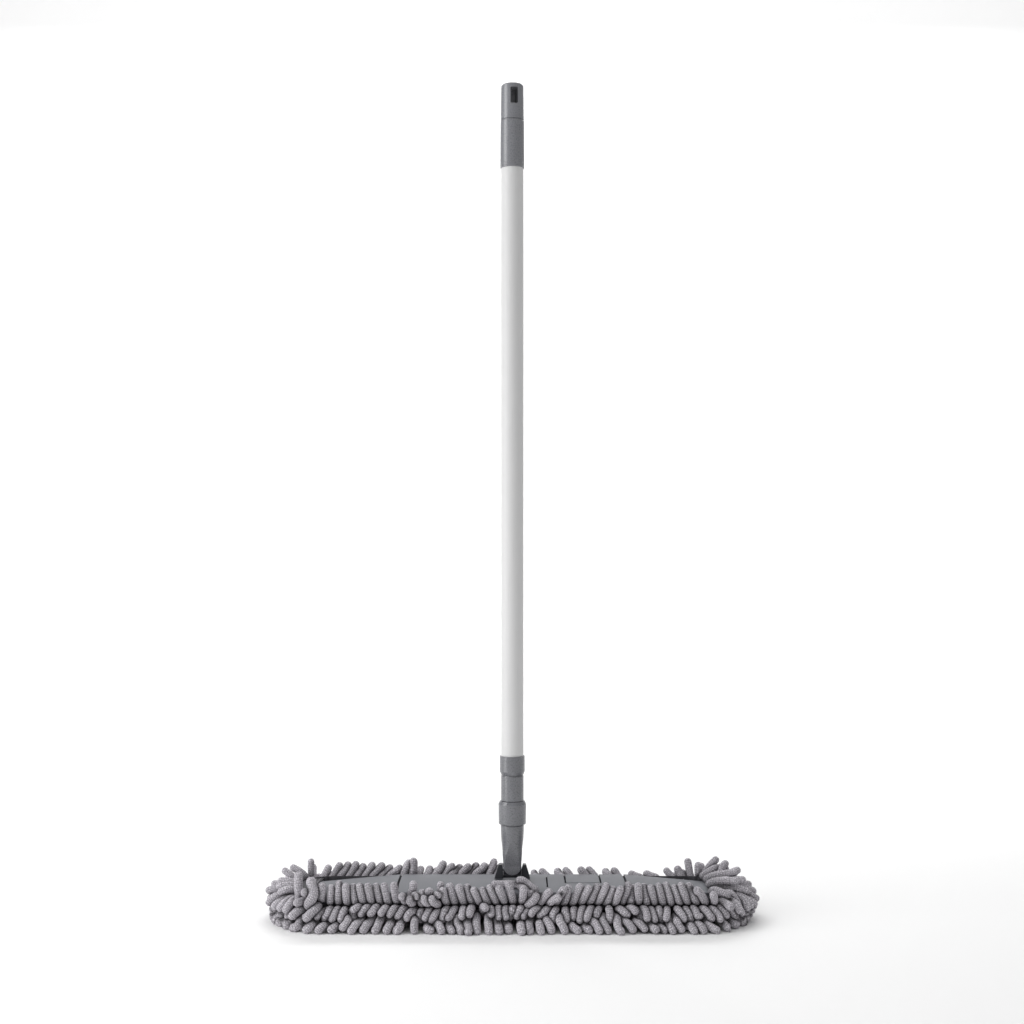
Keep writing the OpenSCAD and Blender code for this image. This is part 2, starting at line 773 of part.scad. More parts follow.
// Hinge barrels of one side of a right-hand fold line, with the webs that carry them
module hinge_barrels(first, side) {
    web_h = barrel_r / 2;
    web_x = hinge_x + side * (barrel_r + seam + over);
    for (i = [first : 2 : barrels - 1]) {
        y0 = barrel_y(i) + clear_gap / 2;
        y1 = barrel_y(i + 1) - clear_gap / 2;
        translate([hinge_x, 0, hinge_z]) bar_y(barrel_r, y0, y1);
        block([min(hinge_x, web_x), y0, hinge_z - web_h], [max(hinge_x, web_x), y1, hinge_z + web_h]);
    }
}

// Bore of the hinge pin on a right-hand fold line
module hinge_bore() {
    translate([hinge_x, 0, hinge_z]) bar_y(hinge_pin_r + run_gap, -frame_half - over, frame_half + over);
}

// Open bays under the centre plate, between the ribs
module plate_bays() {
    bay_run = (hinge_wall_x - skirt) * 2 / bays;
    for (i = [0 : bays - 1]) {
        x0 = skirt - hinge_wall_x + i * bay_run + rib / 2;
        for (side = [0, 1]) {
            mirror([0, side, 0]) intersection() {
                side_prism(x0, x0 + bay_run - rib) crown_outline(skirt, skin);
                block([x0, rib / 2, frame_z - over], [x0 + bay_run, frame_half, plate_z]);
            }
        }
    }
}

// Room over the barrels of the other leaf, cut into the plate's end
module hinge_room() {
    reach = barrel_r + clear_gap;
    block([hinge_wall_x, -frame_half - over, frame_z - over], [hinge_x, frame_half + over, hinge_z + reach]);
}

// Centre plate: a crowned, ribbed moulding with the pedal's well and a seat for the yoke
module centre_plate() color(plate_colour) {
    boss_r = screw_head_d / 2 + skirt;
    seat_z = plate_z - skin - skin;
    difference() {
        union() {
            difference() {
                side_prism(-plate_half, plate_half) crown_outline(0, 0);
                difference() {
                    plate_bays();
                    pedal_surround(over);
                    at_screws() translate([0, 0, frame_z - over]) cylinder(r = boss_r, h = plate_h + over);
                }
                for (side = [0, 1]) mirror([side, 0, 0]) hinge_room();
            }
            translate([0, 0, plate_z - skin]) linear_extrude(height = skin) flange_plan();
            for (side = [0, 1]) mirror([side, 0, 0]) hinge_barrels(0, -1);
        }
        for (side = [0, 1]) mirror([side, 0, 0]) hinge_bore();
        pedal_well();
        block([slit_x - slit_w / 2, -slit_ahead - slit_len / 2, seat_z],
            [slit_x + slit_w / 2, slit_len / 2 - slit_ahead, plate_z + over]);
        at_screws() {
            translate([0, 0, seat_z - over]) cylinder(r = screw_d / 2 + fit_gap, h = plate_h);
            translate([0, 0, frame_z - over])
                cylinder(r = screw_head_d / 2 + clear_gap, h = seat_z - frame_z + over);
        }
    }
}

// Solid kept round the pedal's well
module pedal_surround(spare) {
    block([well_x - skirt, -well_front - skirt - pedal_lug, frame_z - spare],
        [well_x1 + skirt, frame_half, plate_z]);
}

// Well of the pedal, with the bore of its pin and the lug that holds the pin's far end
module pedal_well() {
    difference() {
        block([well_x, -well_front, well_floor_z], [well_x1, frame_half + over, plate_z + over]);
        block([well_x - over, frame_half - skirt, well_floor_z - over],
            [well_x1 + over, frame_half + over, pedal_pin_z - over]);
        intersection() {
            block([well_x - over, pedal_lug_y, well_floor_z - over],
                [pedal_pin_x + pedal_barrel_r, frame_half - skirt + over, pedal_pin_z + pedal_barrel_r]);
            union() {
                translate([pedal_pin_x, 0, pedal_pin_z]) bar_y(pedal_barrel_r, pedal_lug_y, frame_half);
                block([pedal_pin_x - pedal_barrel_r, pedal_lug_y, well_floor_z - over],
                    [pedal_pin_x + pedal_barrel_r, frame_half, pedal_pin_z]);
            }
        }
    }
    translate([pedal_pin_x, 0, pedal_pin_z])
        bar_y(pedal_pin_r + fit_gap, -well_front - pedal_lug, frame_half - skirt);
}

// Pin of the pedal
module pedal_pin() color(steel_colour) {
    translate([pedal_pin_x, 0, pedal_pin_z])
        bar_y(pedal_pin_r, clear_gap - well_front - pedal_lug, frame_half - skirt - clear_gap);
}

// Release pedal: a crowned tread with its barrel and a latch hook at its free end
module release_pedal() color(plate_colour) {
    barrel_y0 = pedal_front;
    barrel_y1 = pedal_lug_y - clear_gap;
    hook_z = plate_z - pedal_t - hook_h;
    tread_y1 = frame_half - break_edge;
    difference() {
        union() {
            intersection() {
                difference() {
                    side_prism(pedal_x, pedal_x1) crown_outline(break_edge, 0);
                    side_prism(pedal_x - over, pedal_x1 + over) crown_outline(-over, pedal_t);
                }
                block([pedal_x, pedal_front, frame_z], [pedal_x1, tread_y1, plate_z]);
            }
            intersection() {
                union() {
                    translate([pedal_pin_x, 0, pedal_pin_z]) bar_y(pedal_barrel_r, barrel_y0, barrel_y1);
                    block([pedal_pin_x - pedal_pin_r, barrel_y0, pedal_pin_z],
                        [pedal_pin_x + pedal_pin_r, barrel_y1, plate_z]);
                    block([pedal_x1 - hook_t, pedal_front, hook_z],
                        [pedal_x1, pedal_lug_y - clear_gap, plate_z]);
                }
                side_prism(pedal_x, pedal_x1) crown_outline(break_edge, pedal_t / 2);
            }
        }
        translate([pedal_pin_x, 0, pedal_pin_z]) bar_y(pedal_pin_r + run_gap, -frame_half, frame_half);
    }
}

// Leaf spring that lifts the pedal, standing on the well's floor
module pedal_spring() color(steel_colour) {
    foot_z = well_floor_z;
    foot_x = pedal_x1 - hook_t - pedal_gap;
    toe_z = plate_z - pedal_t - clear_gap - clear_gap - leaf_t;
    knee_x = foot_x - leaf_foot;
    front_prism(-leaf_w / 2, leaf_w / 2) polygon([
        [foot_x, foot_z], [knee_x - leaf_t, foot_z], [knee_x - leaf_t, foot_z + leaf_t],
        [foot_x - leaf_t, toe_z + leaf_t], [foot_x + leaf_t, toe_z + leaf_t], [foot_x + leaf_t, toe_z],
        [knee_x + leaf_t, foot_z + leaf_t], [foot_x, foot_z + leaf_t]
    ]);
}

// Hinge pin of a right-hand fold line
module hinge_pin() {
    translate([hinge_x, 0, hinge_z]) bar_y(hinge_pin_r, -hinge_pin_len / 2, hinge_pin_len / 2);
}
module right_hinge_pin() color(steel_colour) hinge_pin();
module left_hinge_pin() color(steel_colour) mirror([1, 0, 0]) hinge_pin();

// Plan of a right-hand wing, drawn in by a wall
module wing_plan(wall) {
    x0 = wing_x;
    x1 = wing_end - wall;
    tip_x = wing_end - wing_tip_r;
    intersection() {
        polygon([
            [x0, wall - frame_half], [x1, wall - wing_tip_w / 2],
            [x1, wing_tip_w / 2 - wall], [x0, frame_half - wall]
        ]);
        union() {
            translate([x0 - over, -frame_half]) square([tip_x - x0 + over, frame_d]);
            translate([tip_x, 0]) circle(r = wing_tip_r - wall);
        }
    }
}

// Crowned bar that falls with the wing's top, lowered by a skin
module wing_crown(drop) {
    translate([wing_x, 0, plate_z]) rotate([0, wing_angle, 0]) translate([-skirt - over, 0, -crown_r])
        rotate([0, 90, 0]) cylinder(r = crown_r - drop, h = wing_len + wing_len, $fn = 720);
}

// Wing: a tapered, falling shell with ribs, a rounded tip and its hinge barrels
module wing() {
    room_x = hinge_x + barrel_r + seam;
    cell = (wing_end - room_x) / 3;
    difference() {
        union() {
            difference() {
                intersection() {
                    translate([0, 0, frame_z]) linear_extrude(height = plate_h + over) wing_plan(0);
                    wing_crown(0);
                }
                difference() {
                    intersection() {
                        translate([0, 0, frame_z - over])
                            linear_extrude(height = plate_h + over) wing_plan(skirt);
                        wing_crown(skin);
                    }
                    block([wing_x - over, -frame_half, frame_z - over - over],
                        [room_x + skirt, frame_half, plate_z]);
                    block([wing_x, -rib / 2, frame_z - over - over], [wing_end, rib / 2, plate_z]);
                    for (i = [1, 2]) {
                        block([room_x + i * cell - rib / 2, -frame_half, frame_z - over - over],
                            [room_x + i * cell + rib / 2, frame_half, plate_z]);
                    }
                }
                block([wing_x - over, -frame_half - over, frame_z - over],
                    [room_x, frame_half + over, hinge_z + barrel_r + clear_gap]);
            }
            hinge_barrels(1, 1);
        }
        hinge_bore();
    }
}
module right_wing() color(plate_colour) wing();
module left_wing() color(plate_colour) mirror([1, 0, 0]) wing();

// Cover

// Seeded swing of a noodle, from -1 to 1
function swing(seed, count) = rands(-1, 1, count, seed);

// A station on the fringe's path is [x, y, heading]; the fringe stands out to the right of the heading
function along(h) = [cos(h), sin(h), 0];
function outward(h) = [sin(h), -cos(h), 0];
up = [0, 0, 1];

// Stations on a straight run along the front
function run_stations(x0, x1, y, h) = let (n = round(abs(x1 - x0) / noodle_pitch))
    [for (i = [0 : n]) [x0 + (x1 - x0) * i / n, y, h]];

// Stations of one of the fans round a right-hand end, numbered from the front
fans = 3;
function fan_stations(k) = let (
        n = ceil(backing_half * PI / fans / noodle_pitch),
        edge = zone_gap / backing_half * 180 / PI,
        h0 = 180 * k / fans + edge,
        h1 = 180 * (k + 1) / fans - edge
    ) [for (i = [0 : n]) let (h = h0 + (h1 - h0) * i / n)
        [end_x + backing_half * sin(h), -backing_half * cos(h), h]];

// Length, rise at the root and rise at the tip of a noodle in each row, from the lowest row
row_forms = [
    [lower_len, -lower_fall_angle, -lower_fall_angle],
    [middle_len, -middle_fall_angle, -middle_fall_angle - middle_droop_angle],
    [upper_len, upper_rise_angle, upper_rise_angle]
];

// One ring of a noodle: four corners round a centre
function noodle_ring(centre, t, side, half) = [
    centre - half * t - half * side, centre + half * t - half * side,
    centre + half * t + half * side, centre - half * t + half * side
];

// Nine points of a noodle that grows from a root: two rings and the tip
function noodle(root, heading, form, yaw, lift) = let (
        h = heading + yaw * sway_deg,
        n = outward(h),
        t = along(h),
        e0 = form[1] + lift * lift_deg,
        e1 = form[2] + lift * lift_deg,
        d0 = cos(e0) * n + sin(e0) * up,
        d1 = cos(e1) * n + sin(e1) * up,
        c0 = root + form[0] * ring_at_shares[0] * d0,
        c1 = c0 + form[0] * (ring_at_shares[1] - ring_at_shares[0]) * d1,
        tip = c1 + form[0] * (1 - ring_at_shares[1]) * d1
    ) concat(
        noodle_ring(c0, t, cos(e0) * up - sin(e0) * n, noodle_half * ring_width_shares[0]),
        noodle_ring(c1, t, cos(e1) * up - sin(e1) * n, noodle_half * ring_width_shares[1]),
        [tip]
    );

// Triangles of a four-sided sleeve between two rings of point numbers
function sleeve(a, b) = [for (k = [0 : 3]) let (m = (k + 1) % 4)
    each [[a[k], b[k], b[m]], [a[k], b[m], a[m]]]];

// Band along a path of stations, whose every outer cell grows into a noodle
function fringe_points(path, seed) = let (
        n = len(path) - 1,
        yaw = swing(seed, n * rows),
        lift = swing(seed + 1, n * rows)
    ) concat(
        [for (s = path, j = [0 : rows]) [s.x, s.y, band_z + j * row_h] + band_t * outward(s.z)],
        [for (s = path, z = [band_z, band_top]) [s.x, s.y, z]],
        [for (i = [0 : n - 1], j = [0 : rows - 1]) let (
                a = path[i],
                b = path[i + 1],
                h = (a.z + b.z) / 2,
                mid = [(a.x + b.x) / 2, (a.y + b.y) / 2, band_z + (j + 1 / 2) * row_h],
                root = mid + band_t * outward(h)
            ) each noodle(root, h, row_forms[j], yaw[i * rows + j], lift[i * rows + j])]
    );

// Point numbers of the band's outer grid, its inner edge and a noodle's points
function fringe_faces(path) = let (
        n = len(path) - 1,
        level = rows + 1,
        inner = level * (n + 1),
        first = inner + (n + 1) + (n + 1),
        ring_points = 9
    ) concat(
        [for (i = [0 : n - 1], j = [0 : rows - 1]) let (
                q = i * level + j,
                cell = [q, q + level, q + level + 1, q + 1],
                p = first + (i * rows + j) * ring_points,
                r0 = [p, p + 1, p + 2, p + 3],
                r1 = [p + 4, p + 5, p + 6, p + 7],
                tip = p + 8
            ) each concat(
                sleeve(cell, r0),
                sleeve(r0, r1),
                [for (k = [0 : 3]) [r1[k], tip, r1[(k + 1) % 4]]]
            )],
        [for (i = [0 : n - 1]) let (
                o0 = i * level,
                o1 = o0 + level,
                t0 = o0 + rows,
                t1 = o1 + rows,
                b0 = inner + i + i,
                b1 = b0 + 2,
                u0 = b0 + 1,
                u1 = b1 + 1
            ) each [
                [o0, o1, b1], [o0, b1, b0], [t0, u0, u1], [t0, u1, t1], [b0, b1, u1], [b0, u1, u0]
            ]],
        [for (j = [0 : rows - 1]) [inner, j + 1, j]],
        [[inner, inner + 1, rows]],
        [for (j = [0 : rows - 1]) [inner + n + n, n * level + j, n * level + j + 1]],
        [[inner + n + n, n * level + rows, inner + n + n + 1]]
    );

// A fringe as one closed shape, [points, faces]
function fringe(path, seed) = [fringe_points(path, seed), fringe_faces(path)];

// Backing with noodles under it: columns along X, each with its half width, and a row count
function backing(columns, count) = let (
        n = len(columns) - 1,
        m = count + 1,
        top = m * (n + 1),
        first = top + top,
        spot = function (c, j) [c.x, c.y * (2 * j / count - 1)]
    ) [
        concat(
            [for (c = columns, j = [0 : count]) concat(spot(c, j), [pile_h])],
            [for (c = columns, j = [0 : count]) concat(spot(c, j), [backing_top])],
            [for (i = [0 : n - 1], j = [0 : count - 1]) let (
                    ring = [spot(columns[i], j), spot(columns[i + 1], j),
                        spot(columns[i + 1], j + 1), spot(columns[i], j + 1)],
                    mid = (ring[0] + ring[1] + ring[2] + ring[3]) / 4
                ) each [for (p = ring) concat(mid + stud_share * (p - mid), [0])]]
        ),
        concat(
            [for (i = [0 : n - 1], j = [0 : count - 1]) let (
                    q = i * m + j,
                    cell = [q, q + 1, q + m + 1, q + m],
                    p = first + (i * count + j) * 4,
                    foot = [p, p + 3, p + 2, p + 1],
                    t = top + q
                ) each concat(
                    sleeve(cell, foot),
                    [[foot[0], foot[2], foot[1]], [foot[0], foot[3], foot[2]]],
                    [[t, t + 1, t + m + 1], [t, t + m + 1, t + m]]
                )],
            [for (j = [0 : count - 1]) each [[j, j + 1, top + j + 1], [j, top + j + 1, top + j]]],
            [for (j = [0 : count - 1]) let (q = n * m + j)
                each [[q, top + q + 1, q + 1], [q, top + q, top + q + 1]]],
            [for (i = [0 : n - 1]) let (q = i * m) each [[q, top + q, top + q + m], [q, top + q + m, q + m]]],
            [for (i = [0 : n - 1]) let (q = i * m + count)
                each [[q, top + q + m, top + q], [q, q + m, top + q + m]]]
        )
    ];

// Several closed shapes as one list of points and faces
function joined(shapes, k = 0, points = [], faces = []) = k == len(shapes) ? [points, faces]
    : joined(shapes, k + 1, concat(points, shapes[k][0]),
        concat(faces, [for (f = shapes[k][1]) f + [len(points), len(points), len(points)]]));

// Draws a shape given as [points, faces]
module shape(s) {
    polyhedron(points = s[0], faces = s[1], convexity = 10);
}

// Edges of the cover's zones, with the gap between them
zone_gap = clear_gap / 2;
front_y = -backing_half;
backing_edge = backing_half - clear_gap;
stud_rows = round((backing_half + backing_half) / stud_w);

// Straight columns of a backing from one place to another
function straight_columns(x0, x1) = let (n = max(1, round((x1 - x0) / stud_w)))
    [for (i = [0 : n]) [x0 + (x1 - x0) * i / n, backing_edge]];

// Columns of a right-hand end's backing, rounded with the end curve
function end_columns() = let (
        far = backing_edge * end_share,
        n = round(far / stud_w)
    ) concat(
        straight_columns(strip_x1 + zone_gap, end_x),
        [for (i = [1 : n]) let (d = far * sin(90 * i / n))
            [end_x + d, sqrt(backing_edge * backing_edge - d * d)]]
    );

// Paths of the fringe's zones
function middle_path() = run_stations(zone_gap - strip_x0, strip_x0 - zone_gap, front_y, 0);
function strip_front_path() = run_stations(strip_x0 + zone_gap, strip_x1 - zone_gap, front_y, 0);
function strip_back_path() = run_stations(strip_x1 - zone_gap, strip_x0 + zone_gap, -front_y, 180);
function end_front_path() = run_stations(strip_x1 + zone_gap, end_x - zone_gap, front_y, 0);
function end_back_path() = run_stations(end_x - zone_gap, strip_x1 + zone_gap, -front_y, 180);

// Seeds of the noodles' swing in each zone
front_seed = 11;
back_seed = 23;
end_seed = 37;
fan_seed = 43;
strip_seed = 53;

function middle_columns() = straight_columns(zone_gap - strip_x0, strip_x0 - zone_gap);

module backing_centre() color(fabric_colour) shape(backing(middle_columns(), stud_rows));
module backing_right() color(fabric_colour) shape(backing(end_columns(), stud_rows));
module backing_left() color(fabric_colour) mirror([1, 0, 0]) shape(backing(end_columns(), stud_rows));

module fringe_front() color(noodle_colour) shape(fringe(middle_path(), front_seed));
module fringe_back() color(noodle_colour) rotate([0, 0, 180]) shape(fringe(middle_path(), back_seed));

// Fringe of a right-hand end: two straight runs and the fans between them
module end_front_run() shape(fringe(end_front_path(), end_seed));
module end_back_run() shape(fringe(end_back_path(), end_seed + 2));
module end_fan(k) shape(fringe(fan_stations(k), fan_seed + k + k));

module fringe_right_front() color(noodle_colour) end_front_run();
module fringe_right_fan_front() color(noodle_colour) end_fan(0);
module fringe_right_fan_tip() color(noodle_colour) end_fan(1);
module fringe_right_fan_back() color(noodle_colour) end_fan(2);
module fringe_right_back() color(noodle_colour) end_back_run();
module fringe_left_front() color(noodle_colour) mirror([1, 0, 0]) end_front_run();
module fringe_left_fan_front() color(noodle_colour) mirror([1, 0, 0]) end_fan(0);
module fringe_left_fan_tip() color(noodle_colour) mirror([1, 0, 0]) end_fan(1);
module fringe_left_fan_back() color(noodle_colour) mirror([1, 0, 0]) end_fan(2);
module fringe_left_back() color(noodle_colour) mirror([1, 0, 0]) end_back_run();

// Strip of the cover that bends at a right-hand fold line: both fringes and the backing between them
function fold_strip() = joined([
    fringe(strip_front_path(), strip_seed),
    fringe(strip_back_path(), strip_seed + 2),
    backing(straight_columns(strip_x0 + zone_gap, strip_x1 - zone_gap), stud_rows)
]);
module fold_strip_right() color(noodle_colour) shape(fold_strip());
module fold_strip_left() color(noodle_colour) mirror([1, 0, 0]) shape(fold_strip());

// End pocket: a rounded sheet over the wing's tip that falls with it
module pocket() {
    sheet_r = backing_half - clear_gap;
    intersection() {
        linear_extrude(height = plate_z + plate_h) intersection() {
            translate([end_x, 0]) circle(r = sheet_r);
            translate([pocket_x, -sheet_r]) square([sheet_r + sheet_r, sheet_r + sheet_r]);
        }
        translate([wing_x, -sheet_r, plate_z]) rotate([0, wing_angle, 0]) translate([0, 0, clear_gap])
            cube([wing_len + backing_half, sheet_r + sheet_r, pocket_t]);
    }
}
module pocket_right() color(fabric_colour) pocket();
module pocket_left() color(fabric_colour) mirror([1, 0, 0]) pocket();

hang_cap();
grip();
outer_tube();
lock_collar();
collet();
inner_tube();
glide_bush();
tube_ferrule();
coupling_spigot();
coupling_ring();
swivel_socket();
fork_pin();
knuckle();
yoke_pin();
yoke_base();
yoke_screws();
centre_plate();
left_wing();
right_wing();
left_hinge_pin();
right_hinge_pin();
release_pedal();
pedal_pin();
pedal_spring();
backing_centre();
backing_left();
backing_right();
pocket_left();
pocket_right();
fringe_front();
fringe_back();
fringe_left_front();
fringe_left_fan_front();
fringe_left_fan_tip();
fringe_left_fan_back();
fringe_left_back();
fringe_right_front();
fringe_right_fan_front();
fringe_right_fan_tip();
fringe_right_fan_back();
fringe_right_back();
fold_strip_left();
fold_strip_right();
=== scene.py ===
"""Looks of a folding dust mop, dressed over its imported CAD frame.

The rigid pieces keep their CAD shapes and get finishes. The cover's soft solids are replaced by sewn cloth
and by chenille noodles, each one a bent, nubby finger that is pushed clear of its neighbours and the frame.
"""

import logging
import math
from dataclasses import dataclass, field
from enum import Enum
from typing import Any

import bpy
import numpy as np
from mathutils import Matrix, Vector
from mathutils.kdtree import KDTree


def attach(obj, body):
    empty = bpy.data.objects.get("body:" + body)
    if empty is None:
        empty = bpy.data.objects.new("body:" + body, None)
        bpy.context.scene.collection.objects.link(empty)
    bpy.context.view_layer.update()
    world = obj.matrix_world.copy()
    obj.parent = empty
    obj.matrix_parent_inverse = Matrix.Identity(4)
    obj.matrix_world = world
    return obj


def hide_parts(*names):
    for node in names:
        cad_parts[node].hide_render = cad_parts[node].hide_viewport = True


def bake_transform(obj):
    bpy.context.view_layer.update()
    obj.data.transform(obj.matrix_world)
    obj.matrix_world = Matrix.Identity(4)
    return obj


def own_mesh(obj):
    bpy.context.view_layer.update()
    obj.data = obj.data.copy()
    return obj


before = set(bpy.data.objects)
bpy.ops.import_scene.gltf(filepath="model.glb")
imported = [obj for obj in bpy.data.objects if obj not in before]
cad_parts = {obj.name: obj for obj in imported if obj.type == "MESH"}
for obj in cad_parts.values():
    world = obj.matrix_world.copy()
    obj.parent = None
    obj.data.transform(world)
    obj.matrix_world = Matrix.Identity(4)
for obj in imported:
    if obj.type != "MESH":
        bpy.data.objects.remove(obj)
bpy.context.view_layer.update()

LOG = logging.getLogger("dust_mop")
MM = 0.001
TINY = 1e-9

Pair = tuple[float, float]
Triple = tuple[float, float, float]
Knots = tuple[tuple[float, float, float, float], ...]
Sockets = dict[str, bpy.types.NodeSocket]

# Noise seldom leaves this range, so it is stretched over the whole of a shade.
NOISE_RANGE = {"From Min": 0.3, "From Max": 0.7}


def linear(hex_colour: str) -> tuple[float, float, float, float]:
    """Turns an sRGB hex colour into linear RGBA.

    Args:
        hex_colour: Six hex digits with a leading hash.

    Returns:
        The linear colour with full alpha.
    """
    values = [int(hex_colour[i : i + 2], 16) / 255 for i in (1, 3, 5)]
    made = [v / 12.92 if v <= 0.04045 else ((v + 0.055) / 1.055) ** 2.4 for v in values]
    return (made[0], made[1], made[2], 1.0)


def add(
    tree: bpy.types.NodeTree, kind: str, inputs: dict[str | int, Any] | None = None, **settings: Any
) -> bpy.types.Node:
    """Adds a node with its settings and links.

    Args:
        tree: The node tree that gets the node.
        kind: The node's type name.
        inputs: Values or output sockets, by the name or number of the input that they feed.
        settings: The node's own settings, by name.

    Returns:
        The new node.
    """
    made = tree.nodes.new(kind)
    for name, value in settings.items():
        setattr(made, name, value)
    for name, value in (inputs or {}).items():
        if isinstance(value, bpy.types.NodeSocket):
            tree.links.new(value, made.inputs[name])
        else:
            made.inputs[name].default_value = value
    return made


def per_metre(size_mm: float) -> float:
    """Texture scale at which one feature of the pattern has a size in millimetres."""
    return 1000 / size_mm


def bands_per_metre(size_mm: float) -> float:
    """Scale of a wave texture for bands of a size in millimetres; at one its bands are pi / 10 apart."""
    return per_metre(size_mm) * math.pi / 10


def smooth_object(name: str, points: list, faces: list) -> bpy.types.Object:
    """Makes a smooth mesh object and puts it into the scene.

    Args:
        name: The object's name.
        points: Its points.
        faces: Its faces, by point numbers.

    Returns:
        The new object.
    """
    made = bpy.data.meshes.new(name)
    made.from_pydata(points, [], faces)
    made.polygons.foreach_set("use_smooth", np.ones(len(made.polygons), bool))
    made.update()
    obj = bpy.data.objects.new(name, made)
    bpy.context.scene.collection.objects.link(obj)
    return obj


def grid_faces(rows: int, wide: int) -> list[tuple[int, int, int, int]]:
    """Faces of a grid of points.

    Args:
        rows: Number of rows.
        wide: Points in a row.

    Returns:
        Four point numbers for each face.
    """
    starts = [i * wide + j for i in range(rows - 1) for j in range(wide - 1)]
    return [(a, a + 1, a + wide + 1, a + wide) for a in starts]


@dataclass(frozen=True)
class Finish:
    """A material that starts from what the real one is and how its surface was made."""

    name: str
    colour: str
    roughness: float

    def material(self) -> bpy.types.Material:
        """Builds the material once and returns it afterwards.

        Returns:
            The material with this finish's name.
        """
        found = bpy.data.materials.get(self.name)
        if found is not None:
            return found
        made = bpy.data.materials.new(self.name)
        made.use_nodes = True
        made.diffuse_color = linear(self.colour)
        shader = made.node_tree.nodes["Principled BSDF"]
        shader.inputs["Base Color"].default_value = linear(self.colour)
        shader.inputs["Roughness"].default_value = self.roughness
        for name, socket in self.dress(made.node_tree, shader).items():
            made.node_tree.links.new(socket, shader.inputs[name])
        return made

    def dress(self, tree: bpy.types.NodeTree, shader: bpy.types.Node) -> Sockets:
        """Adds the finish's own nodes; the plain finish has none."""
        return {}


@dataclass(frozen=True)
class PowderCoat(Finish):
    """Satin powder coat, baked on: a soft sheen with a faint orange peel and fine scuffs along the tube."""

    peel_mm: float = 2.4
    peel_depth_mm: float = 0.035
    scuff_mm: float = 1.6
    scuff_colour: str = "#d4d4d4"
    scuff_stretch: Triple = (1.0, 1.0, 0.03)
    scuff_range: Pair = (0.58, 0.78)
    scuff_share: float = 0.5
    sheen_swing: Pair = (0.05, 0.08)

    def dress(self, tree: bpy.types.NodeTree, shader: bpy.types.Node) -> Sockets:
        """Adds the orange peel, the scuffs and the uneven sheen.

        Args:
            tree: The material's nodes.
            shader: Its shader.

        Returns:
            What feeds the shader, by input.
        """
        place = add(tree, "ShaderNodeTexCoord").outputs["Object"]
        peel = add(
            tree,
            "ShaderNodeTexNoise",
            {"Vector": place, "Scale": per_metre(self.peel_mm), "Detail": 2.0},
        )
        drawn = add(tree, "ShaderNodeMapping", {"Vector": place, "Scale": self.scuff_stretch})
        scuff = add(
            tree,
            "ShaderNodeTexNoise",
            {"Vector": drawn.outputs[0], "Scale": per_metre(self.scuff_mm), "Detail": 3.0},
        )
        low, high = self.scuff_range
        root_shade = add(
            tree,
            "ShaderNodeMapRange",
            {"Value": scuff.outputs[0], "From Min": low, "From Max": high, "To Max": self.scuff_share},
        )
        tint = add(
            tree,
            "ShaderNodeMixRGB",
            {"Fac": root_shade.outputs[0], "Color1": linear(self.colour), "Color2": linear(self.scuff_colour)},
        )
        down, up = self.sheen_swing
        sheen = add(
            tree,
            "ShaderNodeMapRange",
            {"Value": scuff.outputs[0], "To Min": self.roughness - down, "To Max": self.roughness + up},
        )
        bump = add(
            tree,
            "ShaderNodeBump",
            {"Height": peel.outputs[0], "Distance": self.peel_depth_mm * MM, "Strength": 0.6},
        )
        return {"Base Color": tint.outputs[0], "Roughness": sheen.outputs[0], "Normal": bump.outputs[0]}


